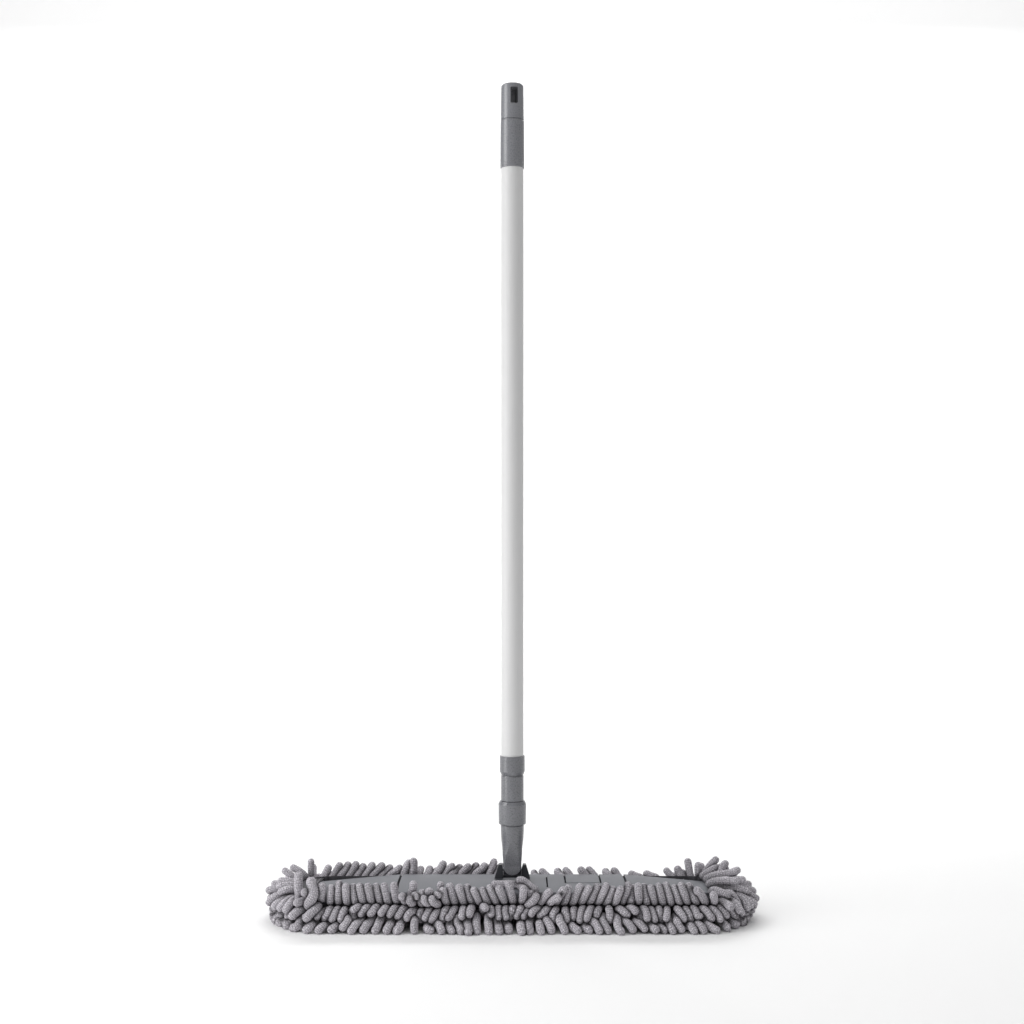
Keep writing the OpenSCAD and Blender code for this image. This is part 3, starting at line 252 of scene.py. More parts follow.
@dataclass(frozen=True)
class MouldedPlastic(Finish):
    """Injection-moulded plastic: an even colour, a fine spark-eroded grain and edges rubbed paler."""

    edge_colour: str = "#a2a3a8"
    shine: float = 0.5
    grain_mm: float = 1.1
    grain_depth_mm: float = 0.012
    gloss_swing: float = 0.04
    flow_mm: float = 28
    mottle: float = 0.06
    edge_mm: float = 0.9
    edge_facing: Pair = (0.98, 0.82)
    edge_wear: float = 0.2

    def dress(self, tree: bpy.types.NodeTree, shader: bpy.types.Node) -> Sockets:
        """Adds the grain, drawn coarser than real so that it shows, the flow mottle and the rubbed edges.

        Args:
            tree: The material's nodes.
            shader: Its shader.

        Returns:
            What feeds the shader, by input.
        """
        shader.inputs["Specular IOR Level"].default_value = self.shine
        place = add(tree, "ShaderNodeTexCoord").outputs["Object"]
        grain = add(
            tree,
            "ShaderNodeTexNoise",
            {"Vector": place, "Scale": per_metre(self.grain_mm), "Detail": 3.0},
        )
        flow = add(
            tree,
            "ShaderNodeTexNoise",
            {"Vector": place, "Scale": per_metre(self.flow_mm), "Detail": 3.0},
        )
        shade = add(
            tree,
            "ShaderNodeMapRange",
            {**NOISE_RANGE, "Value": flow.outputs[0], "To Min": 1 - self.mottle},
        )
        base = add(
            tree,
            "ShaderNodeMixRGB",
            {"Fac": 1.0, "Color1": linear(self.colour), "Color2": shade.outputs[0]},
            blend_type="MULTIPLY",
        )
        rounded = add(tree, "ShaderNodeBevel", {"Radius": self.edge_mm * MM}, samples=4).outputs[0]
        flat = add(tree, "ShaderNodeNewGeometry").outputs["Normal"]
        facing = add(tree, "ShaderNodeVectorMath", {0: rounded, 1: flat}, operation="DOT_PRODUCT")
        low, high = self.edge_facing
        edge = add(
            tree,
            "ShaderNodeMapRange",
            {"Value": facing.outputs["Value"], "From Min": low, "From Max": high, "To Max": self.edge_wear},
        )
        rubbed = add(
            tree,
            "ShaderNodeMixRGB",
            {"Fac": edge.outputs[0], "Color1": base.outputs[0], "Color2": linear(self.edge_colour)},
        )
        swing = self.gloss_swing
        gloss = add(
            tree,
            "ShaderNodeMapRange",
            {"Value": grain.outputs[0], "To Min": self.roughness - swing, "To Max": self.roughness + swing},
        )
        depth = self.grain_depth_mm * MM
        bump = add(
            tree,
            "ShaderNodeBump",
            {"Height": grain.outputs[0], "Distance": depth, "Strength": 0.5, "Normal": rounded},
        )
        return {"Base Color": rubbed.outputs[0], "Roughness": gloss.outputs[0], "Normal": bump.outputs[0]}


@dataclass(frozen=True)
class DrawnMetal(Finish):
    """Bright metal, turned or drawn: fine lines that run one way break up its shine."""

    line_mm: float = 0.8
    line_depth_mm: float = 0.01
    line_stretch: Triple = (1.0, 1.0, 0.02)
    gloss_swing: float = 0.1
    darkest: float = 0.86

    def dress(self, tree: bpy.types.NodeTree, shader: bpy.types.Node) -> Sockets:
        """Adds the drawn lines to the roughness, the bump and the tone.

        Args:
            tree: The material's nodes.
            shader: Its shader.

        Returns:
            What feeds the shader, by input.
        """
        shader.inputs["Metallic"].default_value = 1.0
        place = add(tree, "ShaderNodeTexCoord").outputs["Object"]
        drawn = add(tree, "ShaderNodeMapping", {"Vector": place, "Scale": self.line_stretch})
        lines = add(
            tree,
            "ShaderNodeTexNoise",
            {"Vector": drawn.outputs[0], "Scale": per_metre(self.line_mm), "Detail": 4.0},
        )
        swing = self.gloss_swing
        gloss = add(
            tree,
            "ShaderNodeMapRange",
            {"Value": lines.outputs[0], "To Min": self.roughness - swing, "To Max": self.roughness + swing},
        )
        shade = add(
            tree,
            "ShaderNodeMapRange",
            {**NOISE_RANGE, "Value": lines.outputs[0], "To Min": self.darkest},
        )
        base = add(
            tree,
            "ShaderNodeMixRGB",
            {"Fac": 1.0, "Color1": linear(self.colour), "Color2": shade.outputs[0]},
            blend_type="MULTIPLY",
        )
        bump = add(
            tree,
            "ShaderNodeBump",
            {"Height": lines.outputs[0], "Distance": self.line_depth_mm * MM, "Strength": 0.4},
        )
        return {"Base Color": base.outputs[0], "Roughness": gloss.outputs[0], "Normal": bump.outputs[0]}


@dataclass(frozen=True)
class Chenille(Finish):
    """Microfibre chenille: short loops in close rings, matt and soft, pale on the nubs, with painted shade
    darkening the pits between.
    """

    pit_shade_colour: str = "#86838a"
    shine: float = 0.1
    tuft_mm: float = 2.4
    ring_mm: float = 2.2
    fuzz_mm: float = 1.5
    nub_depth_mm: float = 0.45
    ring_share: float = 0.04
    fuzz_share: float = 1.5
    lit_range: Pair = (0.55, 1.45)

    def dress(self, tree: bpy.types.NodeTree, shader: bpy.types.Node) -> Sockets:
        """Adds the tufts and rings, drawn a little coarser than real so that they show.

        Args:
            tree: The material's nodes.
            shader: Its shader.

        Returns:
            What feeds the shader, by input.
        """
        shader.inputs["Specular IOR Level"].default_value = self.shine
        wrapped = add(tree, "ShaderNodeUVMap", uv_map="wrap").outputs[0]
        rows = {"Vector": wrapped, "Distortion": 7.0, "Detail": 2.0, "Detail Scale": 1.6}
        rings, tufts = (
            add(
                tree,
                "ShaderNodeTexWave",
                {**rows, "Scale": bands_per_metre(size)},
                bands_direction=way,
            ).outputs["Fac"]
            for size, way in ((self.ring_mm, "Y"), (self.tuft_mm, "X"))
        )
        fuzz = add(
            tree,
            "ShaderNodeTexNoise",
            {"Vector": wrapped, "Scale": per_metre(self.fuzz_mm), "Detail": 3.0},
        )
        nubs = add(tree, "ShaderNodeMath", {0: rings, 1: tufts}, operation="MULTIPLY")
        ringed = add(
            tree,
            "ShaderNodeMath",
            {0: rings, 1: self.ring_share, 2: nubs.outputs[0]},
            operation="MULTIPLY_ADD",
        )
        height = add(
            tree,
            "ShaderNodeMath",
            {0: fuzz.outputs[0], 1: self.fuzz_share, 2: ringed.outputs[0]},
            operation="MULTIPLY_ADD",
        )
        low, high = self.lit_range
        lit = add(
            tree,
            "ShaderNodeMapRange",
            {"Value": height.outputs[0], "From Min": low, "From Max": high},
        )
        # Painted shade: the pits between the nubs get the darker pit colour.
        yarn = add(
            tree,
            "ShaderNodeMixRGB",
            {"Fac": lit.outputs[0], "Color1": linear(self.pit_shade_colour), "Color2": linear(self.colour)},
        )
        # The tone attribute: each noodle's own tone times painted shade between noodles and at the roots.
        tone = add(tree, "ShaderNodeAttribute", attribute_name="tone")
        toned_and_shaded = add(
            tree,
            "ShaderNodeMixRGB",
            {"Fac": 1.0, "Color1": yarn.outputs[0], "Color2": tone.outputs["Color"]},
            blend_type="MULTIPLY",
        )
        bump = add(
            tree,
            "ShaderNodeBump",
            {"Height": height.outputs[0], "Distance": self.nub_depth_mm * MM, "Strength": 0.8},
        )
        return {"Base Color": toned_and_shaded.outputs[0], "Normal": bump.outputs[0]}


@dataclass(frozen=True)
class WovenPolyester(Finish):
    """Plain-woven polyester backing: matt crossing threads with a slight sheen."""

    gap_colour: str = "#2b2a2e"
    shine: float = 0.2
    sheen: float = 0.15
    thread_mm: float = 1.6
    thread_depth_mm: float = 0.3
    cloud_mm: float = 14
    cloud_share: float = 0.4

    def dress(self, tree: bpy.types.NodeTree, shader: bpy.types.Node) -> Sockets:
        """Adds the weave, drawn coarser than real so that it shows.

        Args:
            tree: The material's nodes.
            shader: Its shader.

        Returns:
            What feeds the shader, by input.
        """
        shader.inputs["Sheen Weight"].default_value = self.sheen
        shader.inputs["Specular IOR Level"].default_value = self.shine
        place = add(tree, "ShaderNodeTexCoord").outputs["Object"]
        threads = {"Vector": place, "Scale": bands_per_metre(self.thread_mm), "Distortion": 0.6}
        warp, weft = (
            add(tree, "ShaderNodeTexWave", threads, bands_direction=way).outputs["Fac"] for way in ("X", "Y")
        )
        cross = add(tree, "ShaderNodeMath", {0: warp, 1: weft}, operation="MULTIPLY")
        cloud = add(
            tree,
            "ShaderNodeTexNoise",
            {"Vector": place, "Scale": per_metre(self.cloud_mm), "Detail": 3.0},
        )
        mixed = add(
            tree,
            "ShaderNodeMath",
            {0: cloud.outputs[0], 1: self.cloud_share, 2: cross.outputs[0]},
            operation="MULTIPLY_ADD",
        )
        cloth = add(
            tree,
            "ShaderNodeMixRGB",
            {"Fac": mixed.outputs[0], "Color1": linear(self.gap_colour), "Color2": linear(self.colour)},
        )
        bump = add(
            tree,
            "ShaderNodeBump",
            {"Height": cross.outputs[0], "Distance": self.thread_depth_mm * MM, "Strength": 0.6},
        )
        return {"Base Color": cloth.outputs[0], "Normal": bump.outputs[0]}


@dataclass(frozen=True)
class TwistedThread(Finish):
    """Spun polyester thread: plies wound round each other, so light and dark run along it in slants."""

    gap_colour: str = "#6f6d73"
    ply_mm: float = 0.9
    ply_depth_mm: float = 0.1
    slant: float = 0.8

    def dress(self, tree: bpy.types.NodeTree, shader: bpy.types.Node) -> Sockets:
        """Adds the slanting plies to the colour and the bump.

        Args:
            tree: The material's nodes.
            shader: Its shader.

        Returns:
            What feeds the shader, by input.
        """
        wrapped = add(tree, "ShaderNodeUVMap", uv_map="wrap").outputs[0]
        slant = add(tree, "ShaderNodeMapping", {"Vector": wrapped, "Rotation": (0.0, 0.0, self.slant)})
        plies = add(
            tree,
            "ShaderNodeTexWave",
            {"Vector": slant.outputs[0], "Scale": bands_per_metre(self.ply_mm), "Distortion": 0.5},
        ).outputs["Fac"]
        wound = add(
            tree,
            "ShaderNodeMixRGB",
            {"Fac": plies, "Color1": linear(self.gap_colour), "Color2": linear(self.colour)},
        )
        bump = add(
            tree,
            "ShaderNodeBump",
            {"Height": plies, "Distance": self.ply_depth_mm * MM, "Strength": 0.6},
        )
        return {"Base Color": wound.outputs[0], "Normal": bump.outputs[0]}


# Pale grey and satin: the light runs down the tube in broad, soft bands.
TUBE_PAINT = PowderCoat("powder_coated_tube", "#dedede", 0.5)
# Grey from smooth moulds: a narrow bright streak on a dark body.
GREY_PLASTIC = MouldedPlastic("moulded_grey_polypropylene", "#818287", 0.28, shine=1.0)
# The coupling's copy of the grey is painted darker: painted shade on the low pieces.
SHADED_COUPLING_GREY = MouldedPlastic("moulded_grey_polypropylene_painted_shade", "#707176", 0.28, shine=1.0)
# The same grey from a dull mould, so that the flat plate has no glare.
PLATE_PLASTIC = MouldedPlastic("moulded_plate_polypropylene", "#727378", 0.6, shine=0.15)
# Nearly black and half matt, with greyer edges where pieces rub.
DARK_NYLON = MouldedPlastic("moulded_dark_nylon", "#3f4145", 0.44, edge_colour="#74767b", shine=0.3)
# Bright pins with fine turning lines, and a paler tube with lines along it.
PIN_STEEL = DrawnMetal("turned_steel", "#b9bcc0", 0.3, line_stretch=(1.0, 0.02, 1.0))
TUBE_ALLOY = DrawnMetal("drawn_aluminium", "#c4c7cb", 0.34)
# Pale lilac grey without a shine; the gaps between noodles carry the dark, partly as painted shade.
NOODLE_CHENILLE = Chenille("microfibre_chenille", "#e2dee4", 0.95)
# Dark and matt behind the pale noodles, partly painted shade for the tray's recess, with lighter thread on
# it.
BACKING_CLOTH = WovenPolyester("woven_polyester", "#56555a", 0.9)
STITCH_THREAD = TwistedThread("twisted_sewing_thread", "#b4b1b7", 0.8)
# Plain white that fades away behind the mop.
WHITE_PAPER = Finish("matt_white_paper", "#fbfbfb", 0.9)

FINISHED_NODES: dict[Finish, tuple[str, ...]] = {
    TUBE_PAINT: ("outer_tube",),
    TUBE_ALLOY: ("inner_tube",),
    GREY_PLASTIC: ("hang_cap", "grip"),
    SHADED_COUPLING_GREY: ("lock_collar", "tube_ferrule", "coupling_ring", "swivel_socket"),
    PLATE_PLASTIC: ("centre_plate", "left_wing", "right_wing", "release_pedal"),
    DARK_NYLON: ("collet", "glide_bush", "coupling_spigot", "knuckle", "yoke_base"),
    PIN_STEEL: (
        "fork_pin",
        "yoke_pin",
        "yoke_screws",
        "left_hinge_pin",
        "right_hinge_pin",
        "pedal_pin",
        "pedal_spring",
    ),
}


class Zone(Enum):
    """Parts of the cover, by what carries them."""

    LEFT_END = "left_end"
    LEFT_FOLD = "left_fold"
    MIDDLE = "middle"
    RIGHT_FOLD = "right_fold"
    RIGHT_END = "right_end"

    def is_end(self) -> bool:
        """Whether the zone is one of the round ends."""
        return self in (Zone.LEFT_END, Zone.RIGHT_END)

    def is_fold(self) -> bool:
        """Whether the zone bends at a fold line."""
        return self in (Zone.LEFT_FOLD, Zone.RIGHT_FOLD)

    def turn(self) -> int:
        """Minus one on the left, and one elsewhere."""
        return -1 if self in (Zone.LEFT_END, Zone.LEFT_FOLD) else 1


class Side(Enum):
    """Sides of the cover's rim."""

    FRONT = "front"
    RIGHT = "right"
    BACK = "back"
    LEFT = "left"


def hand(turn: int) -> str:
    """Name of the head's side that a turn of minus one or one stands for."""
    return "left" if turn < 0 else "right"


@dataclass(frozen=True)
class FoldLayout:
    """Where the cover bends, in metres from the middle."""

    inner: float = 0.115
    outer: float = 0.165
    height: float = 0.031

    def zone(self, x: float) -> Zone:
        """Zone of a place along the head.

        Args:
            x: Place along the head.

        Returns:
            The zone that carries it.
        """
        if abs(x) < self.inner:
            return Zone.MIDDLE
        if abs(x) < self.outer:
            return Zone.LEFT_FOLD if x < 0 else Zone.RIGHT_FOLD
        return Zone.LEFT_END if x < 0 else Zone.RIGHT_END

    def carry(self, obj: bpy.types.Object, zone: Zone) -> bpy.types.Object:
        """Lets a piece ride on its zone's body; a fold's piece rides on none, with its place baked into its
        mesh.

        Args:
            obj: The finished piece.
            zone: Its zone.

        Returns:
            The piece.
        """
        if zone is Zone.MIDDLE:
            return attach(obj, "frame")
        if zone is Zone.LEFT_END:
            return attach(obj, "left_wing")
        if zone is Zone.RIGHT_END:
            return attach(obj, "right_wing")
        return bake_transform(obj)


@dataclass(frozen=True)
class Station:
    """A place on the rim with its outward and leaning directions, seen from above."""

    spot: Pair
    outward: Pair
    lean: Pair
    side: Side
    bend: float


@dataclass(frozen=True)
class Rim:
    """Oval line that the cover's rim follows, seen from above."""

    half_depth: float = 0.052
    end_x: float = 0.223

    def length(self) -> float:
        """Length of the whole line."""
        return 4 * self.end_x + 2 * math.pi * self.half_depth

    def station(self, travel: float) -> Station:
        """Place at a distance along the line, from the front's left end, anticlockwise from above.

        Args:
            travel: Distance along the line.

        Returns:
            The station there.
        """
        run = 2 * self.end_x
        arc = math.pi * self.half_depth
        r = self.half_depth
        travel %= self.length()
        if travel < run:
            return Station((travel - self.end_x, -r), (0, -1), (1, 0), Side.FRONT, 0.0)
        travel -= run
        if travel < arc:
            bend = travel / r
            s, c = math.sin(bend), math.cos(bend)
            return Station((self.end_x + r * s, -r * c), (s, -c), (c, s), Side.RIGHT, math.degrees(bend))
        travel -= arc
        if travel < run:
            return Station((self.end_x - travel, r), (0, 1), (1, 0), Side.BACK, 180.0)
        travel -= run
        bend = math.pi - travel / r
        s, c = math.sin(bend), math.cos(bend)
        return Station((-self.end_x - r * s, -r * c), (-s, -c), (-c, s), Side.LEFT, math.degrees(bend))


@dataclass(frozen=True)
class RowPlan:
    """One sewn row of noodles round the rim.

    Front and back are knots of place along the head in millimetres, sideways lean and added lift of the
    tips in degrees, and how unruly the noodles are there in degrees. The ends' knots start with the bend in
    degrees, from the front round to the back, and lean towards the back. Thin gives stretches of the back in
    millimetres, and how many noodles are left there out of how many. Back share is how long the noodles at
    the back's left and right are beside the others, and ragged is how far the roots stray up and down.
    """

    pitch: float
    radius: float
    length: float
    root_z: float
    root_out: float
    start_lift: float
    end_lift: float
    turn_share: float
    front: Knots
    back: Knots
    left: Knots
    right: Knots
    seed: int
    back_share: Pair = (1.0, 1.0)
    ragged: float = 0.0
    thin: tuple[tuple[float, float, int, int], ...] = ()

    def grows(self, station: Station, number: int) -> bool:
        """Whether a noodle grows at a station, by the row's thin stretches.

        Args:
            station: The place on the rim.
            number: The noodle's number in the row.

        Returns:
            False where the row is thinned out.
        """
        at = station.spot[0] / MM
        bare = [number % out_of >= left for low, high, left, out_of in self.thin if low < at < high]
        return station.side is not Side.BACK or not any(bare)

    def manner(self, station: Station) -> Triple:
        """Lean, added lift and unruliness at a station.

        Args:
            station: The place on the rim.

        Returns:
            The three angles in degrees.
        """
        straight = station.side in (Side.FRONT, Side.BACK)
        at = station.spot[0] / MM if straight else station.bend
        table = np.array(getattr(self, station.side.value))
        found = [float(np.interp(at, table[:, 0], table[:, k])) for k in (1, 2, 3)]
        return (found[0], found[1], found[2])


UPPER_ROW = RowPlan(
    pitch=0.0100,
    radius=0.0049,
    length=0.0298,
    root_z=0.0296,
    root_out=0.0020,
    start_lift=38,
    end_lift=88,
    turn_share=0.55,
    front=(
        *((-223, 8, 0, 6), (-205, 2, 0, 4), (-178, -10, 0, 4), (-140, -12, 0, 5), (-130, -6, -44, 14)),
        *((-82, -10, -40, 14), (-70, -18, 0, 6), (-28, -17, -12, 6), (8, -12, -14, 8), (24, 34, -12, 8)),
        *((36, 38, -30, 6), (46, 30, -60, 4), (56, 14, 0, 4), (80, 26, 0, 5), (130, 18, 0, 5)),
        *((150, 0, 0, 4), (160, -10, 0, 4), (205, -20, 0, 5), (223, -30, -10, 8)),
    ),
    back=(
        *((-223, 32, 0, 10), (-178, 38, 0, 8), (-170, 58, -20, 8), (-146, 56, -22, 8), (-138, 5, 0, 6)),
        *((-127, 8, -4, 6), (-120, 10, -50, 12), (-106, 20, -50, 12), (-98, 42, -6, 8), (-56, 44, -6, 10)),
        *((-48, 30, -28, 12), (-20, 24, -30, 12), (20, -38, -40, 12), (80, -36, -40, 12)),
        *((115, -28, -38, 12), (135, -24, -40, 12), (160, -34, -40, 12), (170, -62, -34, 10)),
        *((200, -62, -34, 10), (212, -22, -24, 6), (223, -10, -24, 8)),
    ),
    left=(
        *((0, -6, 0, 5), (14, -4, -4, 5), (24, 0, -70, 5), (45, 0, -132, 5), (75, 0, -116, 5)),
        *((100, 0, -88, 6), (135, 0, -60, 8), (150, 20, -30, 8), (165, 34, -6, 6), (180, 38, 0, 8)),
    ),
    right=(
        *((0, -34, 0, 6), (15, -40, -8, 6), (26, -14, -70, 5), (45, 0, -140, 5)),
        *((75, 0, -126, 5), (98, 0, -92, 6), (140, 0, -58, 12), (180, 10, -10, 10)),
    ),
    seed=11,
    back_share=(1.0, 0.8),
    ragged=0.0014,
    thin=((16, 134, 2, 3), (134, 172, 1, 3), (172, 206, 1, 2)),
)
MIDDLE_ROW = RowPlan(
    pitch=0.0101,
    radius=0.0046,
    length=0.0268,
    root_z=0.0224,
    root_out=0.0025,
    start_lift=26,
    end_lift=-88,
    turn_share=0.8,
    front=(
        *((-223, -14, 0, 6), (-190, -8, 0, 4), (-180, -40, 15, 10), (-160, -46, 18, 10)),
        *((-145, -20, 45, 16), (-124, -20, 10, 6), (-110, -8, 0, 4), (-85, -18, 0, 4), (-62, -16, 5, 6)),
        *((-52, -5, 60, 14), (-30, 20, 55, 20), (-15, 0, 10, 6), (8, -18, 0, 6), (24, -42, 10, 6)),
        *((40, -38, 5, 6), (58, -4, 0, 4), (90, -8, 0, 5), (102, -26, 0, 4), (112, -4, 0, 4)),
        *((124, 40, 10, 6), (140, 40, 10, 6), (156, 14, 0, 4), (182, -4, 0, 5), (192, 10, 30, 16)),
        *((205, 14, 0, 4), (223, 20, 0, 5)),
    ),
    back=((-223, 10, 112, 14), (0, 0, 108, 14), (18, 0, 58, 10), (205, -10, 58, 10), (223, -10, 108, 14)),
    left=(
        *((0, 14, 0, 6), (25, 8, 16, 6), (60, 4, 26, 6)),
        *((120, 0, 66, 8), (150, 0, 90, 14), (180, 0, 112, 14)),
    ),
    right=(
        *((0, 20, 0, 6), (25, 12, 8, 5), (60, 4, 18, 6)),
        *((120, 0, 60, 8), (150, 0, 90, 14), (180, 0, 112, 14)),
    ),
    seed=23,
    ragged=0.0014,
)
LOWER_ROW = RowPlan(
    pitch=0.0124,
    radius=0.0050,
    length=0.0345,
    root_z=0.0172,
    root_out=0.0055,
    start_lift=-6,
    end_lift=-65,
    turn_share=0.95,
    front=(
        *((-223, -34, 0, 4), (-200, -25, 0, 4), (-150, -18, 0, 4), (-124, -12, 0, 4), (-112, 10, 0, 6)),
        *((-105, 28, 0, 4), (-85, 16, 0, 4), (-68, 24, 0, 4), (-52, 0, 0, 3), (-15, 3, 0, 4)),
        *((40, 8, 0, 4), (82, 22, 0, 4), (110, 12, 0, 4), (128, 26, 0, 5), (152, 38, 0, 6)),
        *((175, 20, 0, 4), (223, 18, 0, 5)),
    ),
    back=((-223, 0, -18, 10), (223, 0, -18, 10)),
    left=(
        *((0, 34, 0, 4), (30, 18, -20, 5), (60, 6, -34, 5)),
        *((90, 0, -60, 6), (150, 0, -44, 8), (180, 0, -18, 10)),
    ),
    right=(
        *((0, 18, 0, 5), (30, 10, -40, 5), (60, 4, -62, 6)),
        *((90, 0, -72, 6), (150, 0, -44, 8), (180, 0, -18, 10)),
    ),
    seed=37,
)


@dataclass(frozen=True)
class Stray:
    """A loose noodle on a pocket's rim, in millimetres, with azimuth and lift in degrees at root and tip."""

    root: Triple
    start: Pair
    end: Pair
    length: float
    radius: float


STRAYS: tuple[Stray, ...] = (
    Stray((-252, -49, 26), (220, 65), (90, 88), 45, 5.3),
    Stray((-241, -61, 26), (265, 78), (110, 88), 43, 6.3),
    Stray((-254, 38, 40), (120, 75), (90, 86), 23, 4.3),
    Stray((-269, 16, 39), (168, 50), (165, 30), 25, 4.4),
    Stray((-258, 27, 41), (165, 45), (162, 22), 27, 4.5),
    Stray((-262, -8, 38), (185, 18), (184, -8), 30, 4.7),
    Stray((-258, -24, 37), (200, 16), (202, -18), 31, 4.8),
    Stray((-264, 8, 38), (176, 22), (178, 0), 29, 4.6),
    Stray((-230, -57, 26), (230, 0), (222, -42), 34, 5.2),
    Stray((-246, -50, 23), (220, 0), (212, -38), 31, 5.0),
    Stray((-118, -53, 33), (262, 60), (80, 85), 27, 4.9),
    Stray((-112, -55, 34), (268, 45), (270, 6), 25, 4.6),
    Stray((-102, -53, 37), (272, 50), (268, 16), 26, 4.7),
    Stray((-92, -55, 34), (275, 45), (282, 8), 25, 4.6),
    Stray((-86, -54, 34), (270, 62), (85, 82), 24, 4.6),
    Stray((20, -50, 41), (115, 14), (184, -2), 56, 4.6),
    Stray((28, -52, 40), (120, 34), (168, 8), 36, 4.6),
    Stray((24, -57, 33), (170, 60), (10, -50), 36, 4.5),
    Stray((241, 36, 41), (10, 55), (8, 48), 31, 4.6),
    Stray((252, 29, 41), (5, 50), (0, 44), 30, 4.6),
    Stray((236, 42, 40), (90, 75), (90, 86), 18, 4.9),
    Stray((259, 16, 40), (10, 40), (12, 20), 31, 4.7),
    Stray((262, 2, 39), (0, 30), (2, 2), 29, 4.8),
    Stray((260, -12, 37), (355, 10), (352, -32), 35, 4.8),
    Stray((253, -28, 35), (335, 0), (325, -52), 37, 5.2),
    Stray((236, 26, 42), (20, 30), (5, 8), 42, 4.8),
    Stray((238, 8, 43), (5, 25), (0, 5), 44, 4.8),
    Stray((238, -12, 42), (350, 25), (350, 0), 42, 4.8),
    Stray((240, -36, 38), (300, 40), (330, -30), 30, 4.9),
)


@dataclass(frozen=True)
class PilePlan:
    """The pile under the backing, pressed over by the mop's weight, in metres and radians."""

    pitch_x: float = 0.0132
    pitch_y: float = 0.0143
    root_z: float = 0.0215
    inset: float = 0.009
    slack: float = 0.001
    shift: float = 0.0045
    length: float = 0.026
    radius: float = 0.0046
    sweep: float = 2.4
    sweep_swing: float = 0.9
    root_sweep: float = 0.25
    tip_fall: float = -0.35
    length_swing: float = 0.06
    radius_swing: float = 0.05
    tone: float = 0.93
    tone_swing: float = 0.06
    seed: int = 71


@dataclass
class Noodles:
    """Centrelines of many noodles, with their radii, as arrays."""

    points: np.ndarray
    radius: np.ndarray
    tone: np.ndarray
    under: np.ndarray

    @staticmethod
    def joined(groups: "list[Noodles]") -> "Noodles":
        """Puts several groups into one.

        Args:
            groups: The groups, all with as many points a noodle.

        Returns:
            One group with all the noodles.
        """
        return Noodles(
            np.concatenate([g.points for g in groups]),
            np.concatenate([g.radius for g in groups]),
            np.concatenate([g.tone for g in groups]),
            np.concatenate([g.under for g in groups]),
        )

    def picked(self, chosen: np.ndarray) -> "Noodles":
        """The noodles that a mask picks."""
        return Noodles(self.points[chosen], self.radius[chosen], self.tone[chosen], self.under[chosen])


@dataclass(frozen=True)
class FrameShape:
    """Outline of the folding frame that noodles lie against, in metres."""

    half_depth: float = 0.0475
    top: float = 0.045
    crown_radius: float = 0.300
    wing_start: float = 0.1415
    wing_end: float = 0.266
    tip_half: float = 0.024
    wing_fall: float = 0.009
    fall_past: float = 1.4

    def share_out(self, x: np.ndarray) -> np.ndarray:
        """How far places along the head lie out on a wing, one at its tip."""
        return (np.abs(x) - self.wing_start) / (self.wing_end - self.wing_start)

    def half_at(self, x: np.ndarray) -> np.ndarray:
        """Half depth of the frame at places along the head."""
        share = np.clip(self.share_out(x), 0, 1)
        return self.half_depth + (self.tip_half - self.half_depth) * share

    def top_at(self, x: np.ndarray, y: np.ndarray) -> np.ndarray:
        """Height of the frame's top over places on it."""
        share = np.clip(self.share_out(x), 0, self.fall_past)
        return self.top - self.wing_fall * share - y * y / (2 * self.crown_radius)


